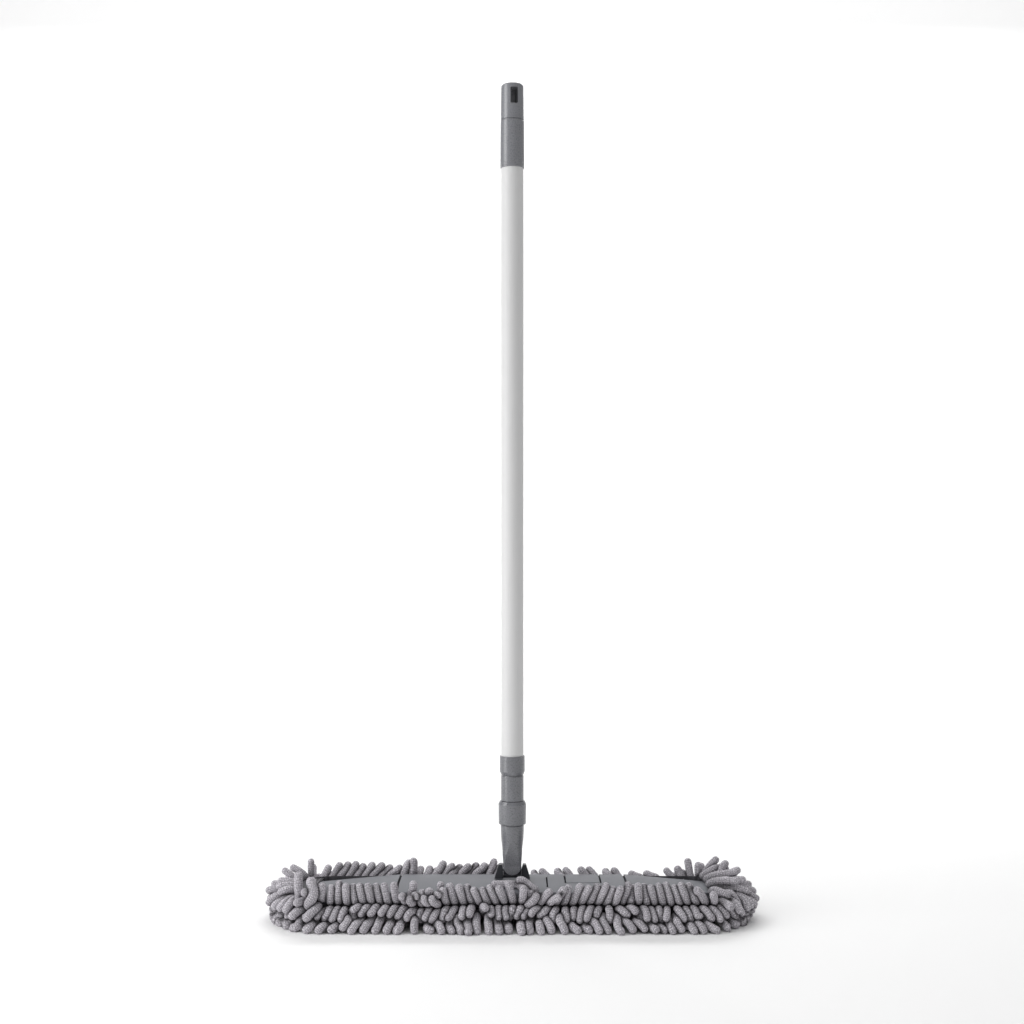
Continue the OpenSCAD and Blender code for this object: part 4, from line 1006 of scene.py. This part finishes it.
@dataclass
class NoodleBed:
    """Grows the noodles in rows, then settles them clear of each other, the frame and the floor.

    A swing is how far a full draw takes a noodle from its plan. Root and tip shares are how much of a row's
    lift and lean the noodle's two ends take up.
    """

    rim: Rim
    shape: FrameShape
    joints: int = 9
    steps: int = 90
    regroup: int = 8
    near_reach: float = 0.0115
    pull: float = 0.06
    bloom: float = 0.97
    tip_stand: Pair = (0.85, 0.08)
    floor_keep: float = 0.98
    backing_z: float = 0.0205
    pile_press: float = 0.4
    root_clear: float = 0.6
    lean_limit: float = 62.0
    place_swing: float = 0.08
    lean_swing: float = 0.8
    lift_swing: float = 1.4
    length_swing: float = 0.07
    radius_swing: float = 0.05
    row_tone: Pair = (0.95, 0.07)
    stray_tone: Pair = (0.97, 0.06)
    root_lift_share: float = 0.3
    root_lean_share: float = 0.5
    tip_lean_share: float = 1.15
    loose_turn: float = 0.7
    back_middle: Pair = (-0.02, 0.02)

    def direction(self, station: Station, lift: float, lean: float) -> np.ndarray:
        """Unit vector that stands out of the rim with a lift and a sideways lean.

        Args:
            station: The place on the rim.
            lift: Angle above level, in degrees.
            lean: Angle to the side, in degrees.

        Returns:
            The direction.
        """
        out = np.array([*station.outward, 0.0])
        side = np.array([*station.lean, 0.0])
        up = np.array([0.0, 0.0, 1.0])
        lean = max(-self.lean_limit, min(self.lean_limit, lean))
        made = math.cos(math.radians(lift)) * out + math.sin(math.radians(lift)) * up
        made = made + math.tan(math.radians(lean)) * side
        return made / np.linalg.norm(made)

    def line(
        self, root: np.ndarray, start: np.ndarray, end: np.ndarray, length: float, turn: float
    ) -> np.ndarray:
        """Centreline that leaves a root one way and turns to another.

        Args:
            root: Where the noodle is sewn on.
            start: Direction at the root.
            end: Direction at the tip.
            length: The noodle's length.
            turn: Share of the length over which it turns.

        Returns:
            The points of the line.
        """
        step = length / (self.joints - 1)
        made = [root]
        for k in range(self.joints - 1):
            share = min(1.0, (k + 0.5) / (self.joints - 1) / turn)
            share = share * share * (3 - 2 * share)
            heading = (1 - share) * start + share * end
            made.append(made[-1] + step * heading / np.linalg.norm(heading))
        return np.array(made)

    def row(self, plan: RowPlan) -> Noodles:
        """Grows one row round the rim.

        Args:
            plan: The row's plan.

        Returns:
            The row's noodles, before they settle.
        """
        dice = np.random.default_rng(plan.seed)
        count = round(self.rim.length() / plan.pitch)
        heights = plan.root_z + plan.ragged * np.random.default_rng(plan.seed + 1).uniform(-1, 1, count)
        middle, swing = self.row_tone
        lines, radii, tones = [], [], []
        for i in range(count):
            draws = dice.uniform(-1, 1, 6)
            station = self.rim.station((i + 0.5 + self.place_swing * draws[0]) * self.rim.length() / count)
            if not plan.grows(station, i):
                continue
            lean, lift, unruly = plan.manner(station)
            lean += self.lean_swing * unruly * draws[1]
            lift += self.lift_swing * unruly * draws[2]
            rise = plan.start_lift + self.root_lift_share * lift
            out = plan.root_out
            # From the ends' middle to the back, roots keep clear of the tray's rim.
            if station.bend > 90:
                out += self.root_clear * plan.radius * max(0.0, math.sin(math.radians(rise)))
            spot = np.array(station.spot) + out * np.array(station.outward)
            root = np.array([*spot, heights[i]])
            start = self.direction(station, rise, self.root_lean_share * lean)
            end = self.direction(station, plan.end_lift + lift, self.tip_lean_share * lean)
            length = plan.length * (1 + self.length_swing * draws[3])
            if station.side is Side.BACK:
                length *= float(np.interp(station.spot[0], self.back_middle, plan.back_share))
            lines.append(self.line(root, start, end, length, plan.turn_share))
            radii.append(plan.radius * (1 + self.radius_swing * draws[4]))
            tones.append(middle + swing * draws[5])
        return Noodles(np.array(lines), np.array(radii), np.array(tones), np.zeros(len(lines), bool))

    def loose(self, strays: tuple[Stray, ...], seed: int) -> Noodles:
        """Grows the loose noodles on the pockets' rims.

        Args:
            strays: The noodles.
            seed: Seed of their tones.

        Returns:
            The noodles, before they settle.
        """
        dice = np.random.default_rng(seed)
        middle, swing = self.stray_tone
        lines = []
        for stray in strays:
            ways = []
            for azimuth, lift in (stray.start, stray.end):
                a, b = math.radians(azimuth), math.radians(lift)
                ways.append(np.array([math.cos(a) * math.cos(b), math.sin(a) * math.cos(b), math.sin(b)]))
            root = np.array(stray.root) * MM
            lines.append(self.line(root, ways[0], ways[1], stray.length * MM, self.loose_turn))
        radii = np.array([stray.radius * MM for stray in strays])
        tones = middle + swing * dice.uniform(-1, 1, len(strays))
        return Noodles(np.array(lines), radii, tones, np.zeros(len(strays), bool))

    def underside(self, plan: PilePlan) -> Noodles:
        """Grows the pile under the backing.

        Args:
            plan: The pile's plan.

        Returns:
            The noodles of the pile.
        """
        dice = np.random.default_rng(plan.seed)
        inner = self.rim.half_depth - plan.inset
        far = self.rim.end_x + inner
        fall = np.array([0.0, 0.0, plan.tip_fall])
        lines, radii, tones = [], [], []
        for j, y in enumerate(np.arange(-inner, inner + plan.slack, plan.pitch_y)):
            for x in np.arange(-far, far + plan.slack, plan.pitch_x):
                draws = dice.uniform(-1, 1, 5)
                x = x + (j % 2 - 0.5) * plan.pitch_x / 2
                past = max(0.0, abs(x) - self.rim.end_x)
                if math.hypot(past, y) > inner + plan.slack / 2:
                    continue
                azimuth = plan.sweep + plan.sweep_swing * draws[0]
                sweep = np.array([math.cos(azimuth), math.sin(azimuth), 0.0])
                start = np.array([plan.root_sweep * sweep[0], plan.root_sweep * sweep[1], -1.0])
                root = np.array([x + plan.shift, y - plan.shift, plan.root_z])
                length = plan.length * (1 + plan.length_swing * draws[1])
                lines.append(self.line(root, start, sweep + fall, length, self.loose_turn))
                radii.append(plan.radius * (1 + plan.radius_swing * draws[2]))
                tones.append(plan.tone + plan.tone_swing * draws[3])
        return Noodles(np.array(lines), np.array(radii), np.array(tones), np.ones(len(lines), bool))

    def pairs(self, flat: np.ndarray, owner: np.ndarray) -> np.ndarray:
        """Points of different noodles that lie near each other.

        Args:
            flat: All the points.
            owner: The noodle of each point.

        Returns:
            Pairs of point numbers.
        """
        tree = KDTree(len(flat))
        for i, p in enumerate(flat):
            tree.insert(p, i)
        tree.balance()
        found = []
        for i, p in enumerate(flat):
            near = tree.find_range(p, self.near_reach)
            found += [(i, j) for _, j, _ in near if j > i and owner[i] != owner[j]]
        return np.array(found, int).reshape(-1, 2)

    def settle(self, bed: Noodles) -> Noodles:
        """Pushes the noodles apart, out of the frame and off the floor, as they keep their length and lie.

        Args:
            bed: All the noodles.

        Returns:
            The settled noodles.
        """
        p = bed.points.copy()
        count, joints = p.shape[:2]
        aim = p.copy()
        step = np.linalg.norm(p[:, 1] - p[:, 0], axis=1)
        owner = np.repeat(np.arange(count), joints)
        radius = np.repeat(bed.radius, joints)
        under = np.repeat(bed.under, joints)
        first = np.tile(np.arange(joints) == 0, count)
        stand = radius * np.tile(np.append(np.ones(joints - 2), self.tip_stand), count)
        near = np.empty((0, 2), int)
        for turn in range(self.steps):
            if turn % self.regroup == 0:
                near = self.pairs(p.reshape(-1, 3), owner)
            p[:, 1:] += self.pull * (aim[:, 1:] - p[:, 1:])
            flat = p.reshape(-1, 3)
            i, j = near[:, 0], near[:, 1]
            apart = flat[j] - flat[i]
            gap = np.linalg.norm(apart, axis=1) + TINY
            short = np.maximum(0, self.bloom * (radius[i] + radius[j]) - gap)
            push = 0.5 * (short / gap)[:, None] * apart
            moved = np.zeros_like(flat)
            hits = np.ones(len(flat))
            np.add.at(moved, i, -push)
            np.add.at(moved, j, push)
            np.add.at(hits, i, (short > 0).astype(float))
            np.add.at(hits, j, (short > 0).astype(float))
            flat += np.where(first, 0, 1)[:, None] * moved / np.sqrt(hits)[:, None]
            self.clear_frame(flat, radius, stand, under, first)
            p = flat.reshape(count, joints, 3)
            for k in range(1, joints):
                way = p[:, k] - p[:, k - 1]
                p[:, k] = p[:, k - 1] + way * (step / (np.linalg.norm(way, axis=1) + TINY))[:, None]
        flat = p.reshape(-1, 3)
        flat[:, 2] = np.maximum(flat[:, 2], self.floor_keep * stand)
        return Noodles(flat.reshape(count, joints, 3), bed.radius, bed.tone, bed.under)

    def clear_frame(
        self, flat: np.ndarray, radius: np.ndarray, stand: np.ndarray, under: np.ndarray, first: np.ndarray
    ) -> None:
        """Moves points off the floor, out of the frame and, in the pile, under the backing.

        Args:
            flat: All the points, moved in place.
            radius: Radius at each point.
            stand: Least height of each point over the floor.
            under: Marks the points of the pile.
            first: Marks the roots, which stay.
        """
        free = ~first
        flat[free, 2] = np.maximum(flat[free, 2], stand[free])
        pile = free & under
        flat[pile, 2] = np.minimum(flat[pile, 2], self.backing_z - self.pile_press * radius[pile])
        x, y, z = flat.T
        side = self.shape.half_at(x) + radius - np.abs(y)
        over = self.shape.top_at(x, y) + radius - z
        inside = free & ~under & (np.abs(x) < self.shape.wing_end) & (side > 0) & (over > 0)
        sideways = inside & (side < over)
        upwards = inside & ~sideways
        flat[sideways, 1] += (np.sign(y) * side)[sideways]
        flat[upwards, 2] += over[upwards]


@dataclass(frozen=True)
class NoodleSkin:
    """Turns centrelines into nubby fingers with round tips and drawn-in roots."""

    sides: int = 12
    body_rings: int = 13
    tip_degrees: tuple[float, ...] = (24, 46, 66, 81)
    neck_share: float = 0.82
    neck_length: float = 0.4
    root_share: float = 0.35
    unevenness: float = 0.035
    first_axis: Triple = (0.31, 0.17, 0.93)
    # Painted shade: skin points darken where another noodle's skin is near.
    contact_reach: float = 0.0028
    contact_dark: float = 0.24
    contact_samples: int = 3
    widest: float = 0.0055
    # Painted shade: noodles darken towards their roots, deep in the rows.
    root_shade_dark: float = 0.66
    dark_length: float = 0.7

    def sampled(self, points: np.ndarray, share: np.ndarray) -> np.ndarray:
        """Smooth curve through a noodle's points.

        Args:
            points: Points of all noodles.
            share: Places along each noodle, from 0 to 1.

        Returns:
            The curve's points.
        """
        joints = points.shape[1]
        at = np.clip(share, 0, 1) * (joints - 1)
        k = np.minimum(at.astype(int), joints - 2)
        t = (at - k)[..., None]
        rows = np.arange(len(points))[:, None]
        before = points[rows, np.maximum(k - 1, 0)]
        a = points[rows, k]
        b = points[rows, k + 1]
        after = points[rows, np.minimum(k + 2, joints - 1)]
        return 0.5 * (
            2 * a
            + (b - before) * t
            + (2 * before - 5 * a + 4 * b - after) * t**2
            + (3 * a - 3 * b + after - before) * t**3
        )

    def painted_contact_shade(self, points: np.ndarray, bed: Noodles, own: np.ndarray) -> np.ndarray:
        """Painted shade, dark where noodles press on each other.

        Args:
            points: Points on the noodles' skins, one row a noodle.
            bed: All the noodles of the bed.
            own: The number in the bed of each row's noodle.

        Returns:
            A painted shade for each point, one where no other noodle is near.
        """
        share = np.linspace(0, 1, self.contact_samples * bed.points.shape[1])[None, :].repeat(len(bed.points), 0)
        lines = self.sampled(bed.points, share)
        per = lines.shape[1]
        tree = KDTree(lines.shape[0] * per)
        for n, p in enumerate(lines.reshape(-1, 3)):
            tree.insert(p, n)
        tree.balance()
        shade = np.ones(points.shape[:2])
        for row, number in enumerate(own):
            for k, p in enumerate(points[row]):
                near = tree.find_range(p, self.contact_reach + self.widest)
                gaps = [d - bed.radius[n // per] for _, n, d in near if n // per != number]
                free = min(gaps, default=self.contact_reach) / self.contact_reach
                shade[row, k] = self.contact_dark + (1 - self.contact_dark) * min(1.0, max(0.0, free))
        return shade

    def profile(
        self, noodles: Noodles, length: np.ndarray, dice: np.random.Generator
    ) -> tuple[np.ndarray, np.ndarray]:
        """Where a noodle's rings lie along it and how wide they are.

        Args:
            noodles: The noodles.
            length: Their lengths, as a column.
            dice: Draws the small unevenness.

        Returns:
            Places and radii of the rings, one row a noodle.
        """
        radius = noodles.radius[:, None]
        tip = np.radians(np.array(self.tip_degrees))[None, :]
        body = np.linspace(0, 1, self.body_rings)[None, :] * (length - radius)
        place = np.concatenate([body, length - radius + radius * np.sin(tip)], axis=1)
        neck = np.clip(body / (self.neck_length * length), 0, 1)
        wide = radius * (self.neck_share + (1 - self.neck_share) * neck * (2 - neck))
        wide = wide * (1 + self.unevenness * dice.uniform(-1, 1, wide.shape))
        wide[:, 0] *= self.root_share
        return place, np.concatenate([wide, radius * np.cos(tip)], axis=1)

    def spokes(self, centre: np.ndarray, turn: np.ndarray) -> np.ndarray:
        """Directions from the rings' centres to their points, carried along each noodle without a twist.

        Args:
            centre: Centres of the rings.
            turn: Angle of each noodle's first spoke, as a column.

        Returns:
            Unit vectors for each noodle, ring and side.
        """
        way = np.gradient(centre, axis=1)
        way /= np.linalg.norm(way, axis=2)[..., None] + 1e-12
        axis = np.cross(way[:, 0], np.array(self.first_axis))
        axis /= np.linalg.norm(axis, axis=1)[:, None]
        made = []
        for k in range(centre.shape[1]):
            axis = axis - (axis * way[:, k]).sum(1)[:, None] * way[:, k]
            axis = axis / np.linalg.norm(axis, axis=1)[:, None]
            made.append(np.stack([axis, np.cross(way[:, k], axis)], axis=1))
        frames = np.stack(made, axis=1)
        angle = np.linspace(0, 2 * math.pi, self.sides, endpoint=False)[None, :] + turn
        ahead = np.cos(angle)[:, None, :, None] * frames[:, :, None, 0]
        return ahead + np.sin(angle)[:, None, :, None] * frames[:, :, None, 1]

    def mesh(self, name: str, bed: Noodles, chosen: np.ndarray, seed: int) -> bpy.types.Object:
        """Builds one mesh of some of a bed's noodles.

        Args:
            name: The piece's name.
            bed: All the noodles.
            chosen: Marks the ones that the piece holds.
            seed: Seed of the small unevenness.

        Returns:
            The new object, in place.
        """
        dice = np.random.default_rng(seed)
        noodles = bed.picked(chosen)
        count = len(noodles.points)
        length = np.linalg.norm(np.diff(noodles.points, axis=1), axis=2).sum(1)[:, None]
        place, wide = self.profile(noodles, length, dice)
        rings = place.shape[1]
        centre = self.sampled(noodles.points, place / length)
        turn = dice.uniform(0, 2 * math.pi, (count, 1))
        skin = centre[:, :, None] + wide[:, :, None, None] * self.spokes(centre, turn)
        pole = self.sampled(noodles.points, np.ones((count, 1)))
        points = np.concatenate([skin.reshape(count, -1, 3), centre[:, :1], pole], axis=1)
        points[..., 2] = np.maximum(points[..., 2], 0.0)
        faces, corners = self.faces(rings)
        per = points.shape[1]
        every = [[v + n * per for v in face] for n in range(count) for face in faces]
        obj = smooth_object(name, points.reshape(-1, 3).tolist(), every)
        around = 2 * math.pi * noodles.radius / self.sides
        along = np.concatenate([place, np.zeros_like(length), length], axis=1)
        shift = dice.uniform(0, 1, count)
        wrap = np.empty((count, len(corners), 2))
        wrap[:, :, 0] = corners[None, :, 0] * around[:, None] + shift[:, None]
        wrap[:, :, 1] = along[:, corners[:, 1].astype(int)] + shift[:, None]
        layer = obj.data.uv_layers.new(name="wrap")
        layer.data.foreach_set("uv", wrap.astype(np.float32).ravel())
        # Painted shade: each noodle darkens towards its root, deep in the rows.
        rise = np.clip(along / (self.dark_length * length), 0, 1)
        root_shade = self.root_shade_dark + (1 - self.root_shade_dark) * rise * rise * (3 - 2 * rise)
        root_shade = np.concatenate([root_shade[:, :rings].repeat(self.sides, axis=1), root_shade[:, rings:]], axis=1)
        # Each noodle's own tone, times painted shade towards the root and where other noodles press near.
        shade = noodles.tone[:, None] * root_shade * self.painted_contact_shade(points, bed, np.flatnonzero(chosen))
        tone = obj.data.attributes.new("tone", "FLOAT", "POINT")
        tone.data.foreach_set("value", shade.astype(np.float32).ravel())
        obj.data.materials.append(NOODLE_CHENILLE.material())
        return obj

    def faces(self, rings: int) -> tuple[list[list[int]], np.ndarray]:
        """Faces of one noodle, and for each face corner its place round and along.

        Args:
            rings: Number of rings.

        Returns:
            The faces, and rows of side number and ring number for their corners.
        """
        n = self.sides
        root = rings * n
        pole = root + 1
        last = (rings - 1) * n
        faces, corners = [], []
        for k in range(rings - 1):
            for j in range(n):
                m = (j + 1) % n
                faces.append([k * n + j, k * n + m, (k + 1) * n + m, (k + 1) * n + j])
                corners += [(j, k), (j + 1, k), (j + 1, k + 1), (j, k + 1)]
        for j in range(n):
            m = (j + 1) % n
            faces.append([m, j, root])
            corners += [(j + 1, 0), (j, 0), (j + 0.5, rings)]
            faces.append([last + j, last + m, pole])
            corners += [(j, rings - 1), (j + 1, rings - 1), (j + 0.5, rings + 1)]
        return faces, np.array(corners, float)


@dataclass(frozen=True)
class StitchPlan:
    """Two rows of stitches along a pocket's mouth, in metres."""

    rows: Pair = (0.0025, 0.0075)
    inset: float = 0.004
    pitch: float = 0.0034
    length: float = 0.0024
    lift: float = 0.0022
    arch: float = 0.0005
    thread: float = 0.0004


@dataclass
class Cover:
    """The pocketed cover: its backing tray, its pockets and its noodles."""

    rim: Rim = field(default_factory=Rim)
    shape: FrameShape = field(default_factory=FrameShape)
    folds: FoldLayout = field(default_factory=FoldLayout)
    seams: StitchPlan = field(default_factory=StitchPlan)
    floor_z: float = 0.0235
    rim_top: float = 0.0375
    rim_gap: float = 0.0008
    rim_bend: tuple[Pair, ...] = ((0.0, 0.0012), (0.006, 0.005))
    rim_lean: float = 0.008
    turned_up: float = 0.0145
    tray_step: float = 0.006
    tray_shares: int = 8
    fan_steps: int = 26
    cloth: float = 0.0012
    pocket_x: float = 0.240
    pocket_lift: float = 0.0014
    pocket_tip: float = 0.0001
    pocket_grid: tuple[int, int] = (12, 20)
    ripple: float = 0.0004
    ripple_waves: Pair = (90, 260)

    def build(self) -> None:
        """Makes the noodles and the cloth, and hangs each piece on its body, save those of the folds."""
        self.build_noodles()
        for zone in Zone:
            self.build_tray(zone)
        for turn in (-1, 1):
            self.build_pocket(turn)

    def build_noodles(self) -> None:
        """Grows, settles and skins the noodles, one piece for each side of each zone."""
        bed = NoodleBed(self.rim, self.shape)
        groups = [bed.row(plan) for plan in (UPPER_ROW, MIDDLE_ROW, LOWER_ROW)]
        groups.append(bed.loose(STRAYS, seed=61))
        groups.append(bed.underside(PilePlan()))
        settled = bed.settle(Noodles.joined(groups))
        root = settled.points[:, 0]
        zones = np.array([self.folds.zone(float(x)).value for x in root[:, 0]])
        skin = NoodleSkin()
        low = NoodleSkin(sides=8, body_rings=9, tip_degrees=(30, 62))
        for zone in Zone:
            here = zones == zone.value
            pile = here & settled.under
            fringe = here & ~settled.under
            if zone is Zone.MIDDLE:
                for side, node in ((-1, "fringe_front"), (1, "fringe_back")):
                    chosen = fringe & (np.sign(root[:, 1]) == side)
                    obj = skin.mesh(f"noodles_{node}", settled, chosen, seed=5)
                    self.folds.carry(obj, zone)
                    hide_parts(node)
                    LOG.info("%s: %d noodles", obj.name, chosen.sum())
            else:
                obj = skin.mesh(f"noodles_{zone.value}", settled, fringe, seed=5)
                self.folds.carry(obj, zone)
                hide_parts(*self.stood_for(zone))
                LOG.info("%s: %d noodles", obj.name, fringe.sum())
            obj = low.mesh(f"pile_{zone.value}", settled, pile, seed=7)
            self.folds.carry(obj, zone)
            LOG.info("%s: %d noodles", obj.name, pile.sum())

    def stood_for(self, zone: Zone) -> list[str]:
        """CAD nodes of the fringe that a zone's noodles stand for.

        Args:
            zone: A fold or an end.

        Returns:
            The nodes' names.
        """
        side = hand(zone.turn())
        if zone.is_fold():
            return [f"fold_strip_{side}"]
        parts = ("front", "fan_front", "fan_tip", "fan_back", "back")
        return [f"fringe_{side}_{part}" for part in parts]

    def sheet(self, name: str, points: list[Triple], wide: int) -> bpy.types.Object:
        """Makes a cloth piece with its thickness.

        Args:
            name: The piece's name.
            points: Its points, row by row.
            wide: Points in a row.

        Returns:
            The new object, in place.
        """
        obj = smooth_object(name, points, grid_faces(len(points) // wide, wide))
        thick = obj.modifiers.new("cloth", "SOLIDIFY")
        thick.thickness = self.cloth
        thick.offset = 0
        obj.data.materials.append(BACKING_CLOTH.material())
        return obj

    def tray_line(self) -> list[Pair]:
        """Half of the tray's section, from the middle outwards.

        Returns:
            Shares of the half depth, with heights.
        """
        out = 1.0 + self.rim_gap / self.rim.half_depth
        flat = [(out * k / self.tray_shares, self.floor_z) for k in range(self.tray_shares)]
        rise = [(out + lean, self.floor_z + up) for lean, up in self.rim_bend]
        return [*flat, *rise, (out + self.rim_lean, self.rim_top)]

    def tray_reach(self, zone: Zone) -> Pair:
        """Where a zone's backing starts and ends along the head.

        Args:
            zone: The zone.

        Returns:
            Both places, on the zone's own side.
        """
        if zone is Zone.MIDDLE:
            return (-self.folds.inner, self.folds.inner)
        if zone.is_fold():
            return (self.folds.inner, self.folds.outer)
        return (self.folds.outer, self.rim.end_x)

    def build_tray(self, zone: Zone) -> None:
        """Makes the backing of a zone: a flat bottom with its rim turned up.

        Args:
            zone: The zone.
        """
        x0, x1 = self.tray_reach(zone)
        steps = max(2, round((x1 - x0) / self.tray_step))
        xs = [x0 + (x1 - x0) * k / steps for k in range(steps + 1)]
        stations = [(x, 0.0, -1.0) for x in xs]
        half_line = self.tray_line()
        line = [(-s, z) for s, z in reversed(half_line)] + half_line[1:]
        if zone.is_end():
            fan = [math.pi * k / self.fan_steps for k in range(1, self.fan_steps)]
            stations += [(x1, math.sin(h), -math.cos(h)) for h in fan]
            stations += [(x, 0.0, 1.0) for x in reversed(xs)]
            line = half_line
        points = []
        for x, out_x, out_y in stations:
            for share, z in line:
                reach = share * self.rim.half_depth
                points.append((zone.turn() * (x + out_x * reach), out_y * reach, z))
        obj = self.sheet(f"backing_{zone.value}", points, len(line))
        r = self.rim.half_depth
        steps_out = zip(half_line, half_line[1:])
        girth = 2 * sum(math.hypot((b[0] - a[0]) * r, b[1] - a[1]) for a, b in steps_out)
        carried = {
            Zone.MIDDLE: ("backing_centre", "centre_plate"),
            Zone.LEFT_END: ("backing_left", "left_wing"),
            Zone.RIGHT_END: ("backing_right", "right_wing"),
        }.get(zone, (f"fold_strip_{hand(zone.turn())}", "centre_plate"))
        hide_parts(carried[0])
        self.folds.carry(obj, zone)

    def on_frame(self, x: float, y: float) -> float:
        """Height of the frame's top at a place."""
        return float(self.shape.top_at(np.array(x), np.array(y)))

    def build_pocket(self, turn: int) -> None:
        """Makes the pocket over a wing's tip, with its stitched mouth.

        Args:
            turn: Minus one for the left pocket, one for the right.
        """
        side = hand(turn)
        rows, columns = self.pocket_grid
        reach = self.rim.half_depth + self.rim.end_x - self.pocket_x - self.cloth
        along, across = self.ripple_waves
        points = []
        for i in range(rows + 1):
            x = self.pocket_x + reach * math.sin(math.pi / 2 * i / rows)
            room = (self.rim.half_depth - self.cloth) ** 2 - (x - self.rim.end_x) ** 2
            half = max(self.pocket_tip, math.sqrt(max(0.0, room)))
            for j in range(columns + 1):
                y = half * (2 * j / columns - 1)
                z = self.on_frame(x, y) + self.pocket_lift
                ripple = self.ripple * math.sin(y * across + x * along)
                points.append((turn * x, y, z + ripple * (1 - i / rows)))
        obj = self.sheet(f"pocket_cloth_{side}", points, columns + 1)
        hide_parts(f"pocket_{side}")
        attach(obj, f"{side}_wing")
        stitches = self.stitches(turn, side)
        LOG.info("%s with %s", obj.name, stitches.name)

    def stitches(self, turn: int, side: str) -> bpy.types.Object:
        """Sews two rows of stitches along a pocket's mouth.

        Args:
            turn: Minus one for the left pocket, one for the right.
            side: The side's name.

        Returns:
            The stitches as one piece.
        """
        plan = self.seams
        spots = []
        for row_x in plan.rows:
            x = self.pocket_x + row_x
            half = math.sqrt(self.rim.half_depth**2 - (x - self.rim.end_x) ** 2) - plan.inset
            for k in range(int(2 * half / plan.pitch)):
                line = []
                for s in (0.0, 0.25, 0.5, 0.75, 1.0):
                    y = -half + k * plan.pitch + plan.length * s
                    z = self.on_frame(x, y) + plan.lift + plan.arch * math.sin(math.pi * s)
                    line.append((turn * x, y, z))
                spots.append(line)
        count = len(spots)
        sewn = Noodles(np.array(spots), np.full(count, plan.thread), np.ones(count), np.zeros(count, bool))
        thread = NoodleSkin(
            sides=6, body_rings=5, tip_degrees=(45,), neck_share=1.0, contact_dark=1.0, root_shade_dark=1.0
        )
        obj = thread.mesh(f"pocket_stitches_{side}", sewn, np.ones(count, bool), seed=3)
        obj.data.materials.clear()
        obj.data.materials.append(STITCH_THREAD.material())
        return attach(obj, f"{side}_wing")


@dataclass(frozen=True)
class Hardware:
    """The rigid CAD pieces, which keep their shapes and get their finishes."""

    spring_foot: Triple = (0.095, 0.0, 0.0273)
    spring_keep: float = 0.7

    def dress(self) -> None:
        """Gives every rigid node its finish, and the leaf spring a mesh of its own."""
        for finish, names in FINISHED_NODES.items():
            for name in names:
                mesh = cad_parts[name].data
                mesh.materials.clear()
                mesh.materials.append(finish.material())
                LOG.info("%s: %s", name, finish.name)
        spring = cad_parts["pedal_spring"]
        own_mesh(spring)


@dataclass(frozen=True)
class Softbox:
    """A rectangular soft light, in metres, watts and degrees; a grid on its front narrows its spread."""

    name: str
    at: Triple
    to: Triple
    size: Pair
    watts: float
    spread: float = 180

    def build(self) -> None:
        """Adds the light to the scene."""
        data = bpy.data.lights.new(self.name, "AREA")
        data.shape = "RECTANGLE"
        data.size, data.size_y = self.size
        data.energy = self.watts
        data.spread = math.radians(self.spread)
        lamp = bpy.data.objects.new(self.name, data)
        lamp.location = self.at
        lamp.rotation_mode = "QUATERNION"
        lamp.rotation_quaternion = (Vector(self.to) - Vector(self.at)).to_track_quat("-Z", "Y")
        bpy.context.scene.collection.objects.link(lamp)


SOFTBOXES: tuple[Softbox, ...] = (
    Softbox("overhead", (0.0, -0.2, 2.6), (0.0, 0.1, 0.0), (3.2, 3.2), 17),
    Softbox("back_top", (0.0, 2.4, 2.5), (0.0, 0.0, 0.0), (3.2, 0.7), 49),
    Softbox("left_key", (-2.05, -0.7, 1.3), (0.0, 0.0, 0.4), (1.2, 2.4), 26),
    Softbox("low_strip", (-1.0, -0.42, 0.32), (0.0, 0.0, 0.2), (0.16, 0.62), 1.6),
    Softbox("backdrop", (0.0, 0.9, 4.2), (0.0, 2.8, 1.2), (6.0, 1.4), 33, 85),
)


@dataclass(frozen=True)
class Studio:
    """White sweep, soft lights and the camera at the photograph's place."""

    camera_at: Triple = (0.0, -1.766, 0.466)
    lens: float = 50.11
    sensor: float = 36.0
    shift_x: float = -0.0003
    shift_y: float = 0.02765
    world_strength: float = 0.37
    floor_front: float = -3.0
    floor_back: float = 1.6
    curve_radius: float = 1.2
    curve_start: float = 0.1
    curve_steps: int = 14
    wall_top: float = 2.7
    floor_half: float = 3.0
    wall_half: float = 2.1

    def build(self) -> None:
        """Sets up the sweep, the lights, the world and the camera."""
        self.sweep()
        for softbox in SOFTBOXES:
            softbox.build()
        world = bpy.data.worlds.new("studio")
        bpy.context.scene.world = world
        world.use_nodes = True
        back = world.node_tree.nodes["Background"]
        back.inputs["Color"].default_value = linear("#ffffff")
        back.inputs["Strength"].default_value = self.world_strength
        data = bpy.data.cameras.new("camera")
        data.lens = self.lens
        data.sensor_width = self.sensor
        data.shift_x = self.shift_x
        data.shift_y = self.shift_y
        camera = bpy.data.objects.new("camera", data)
        camera.location = self.camera_at
        camera.rotation_euler = (math.pi / 2, 0.0, 0.0)
        bpy.context.scene.collection.objects.link(camera)
        bpy.context.scene.camera = camera
        bpy.context.scene.view_settings.view_transform = "Standard"

    def sweep(self) -> None:
        """Makes the pale floor that curves up into a backdrop."""
        r = self.curve_radius
        angles = np.linspace(self.curve_start, math.pi / 2, self.curve_steps)
        line = [(self.floor_front, 0.0), (self.floor_back, 0.0)]
        line += [(self.floor_back + r * math.sin(a), r - r * math.cos(a)) for a in angles]
        line.append((self.floor_back + r, self.wall_top))
        half = [self.floor_half if y < self.floor_back else self.wall_half for y, _ in line]
        points = [(x, y, z) for (y, z), w in zip(line, half) for x in (-w, w)]
        obj = smooth_object("sweep", points, grid_faces(len(line), 2))
        obj.data.materials.append(WHITE_PAPER.material())


def main() -> None:
    """Builds the studio, dresses the hardware and makes the cover."""
    logging.basicConfig(level=logging.INFO)
    Studio().build()
    Hardware().dress()
    Cover().build()


if __name__ == "__main__":
    main()
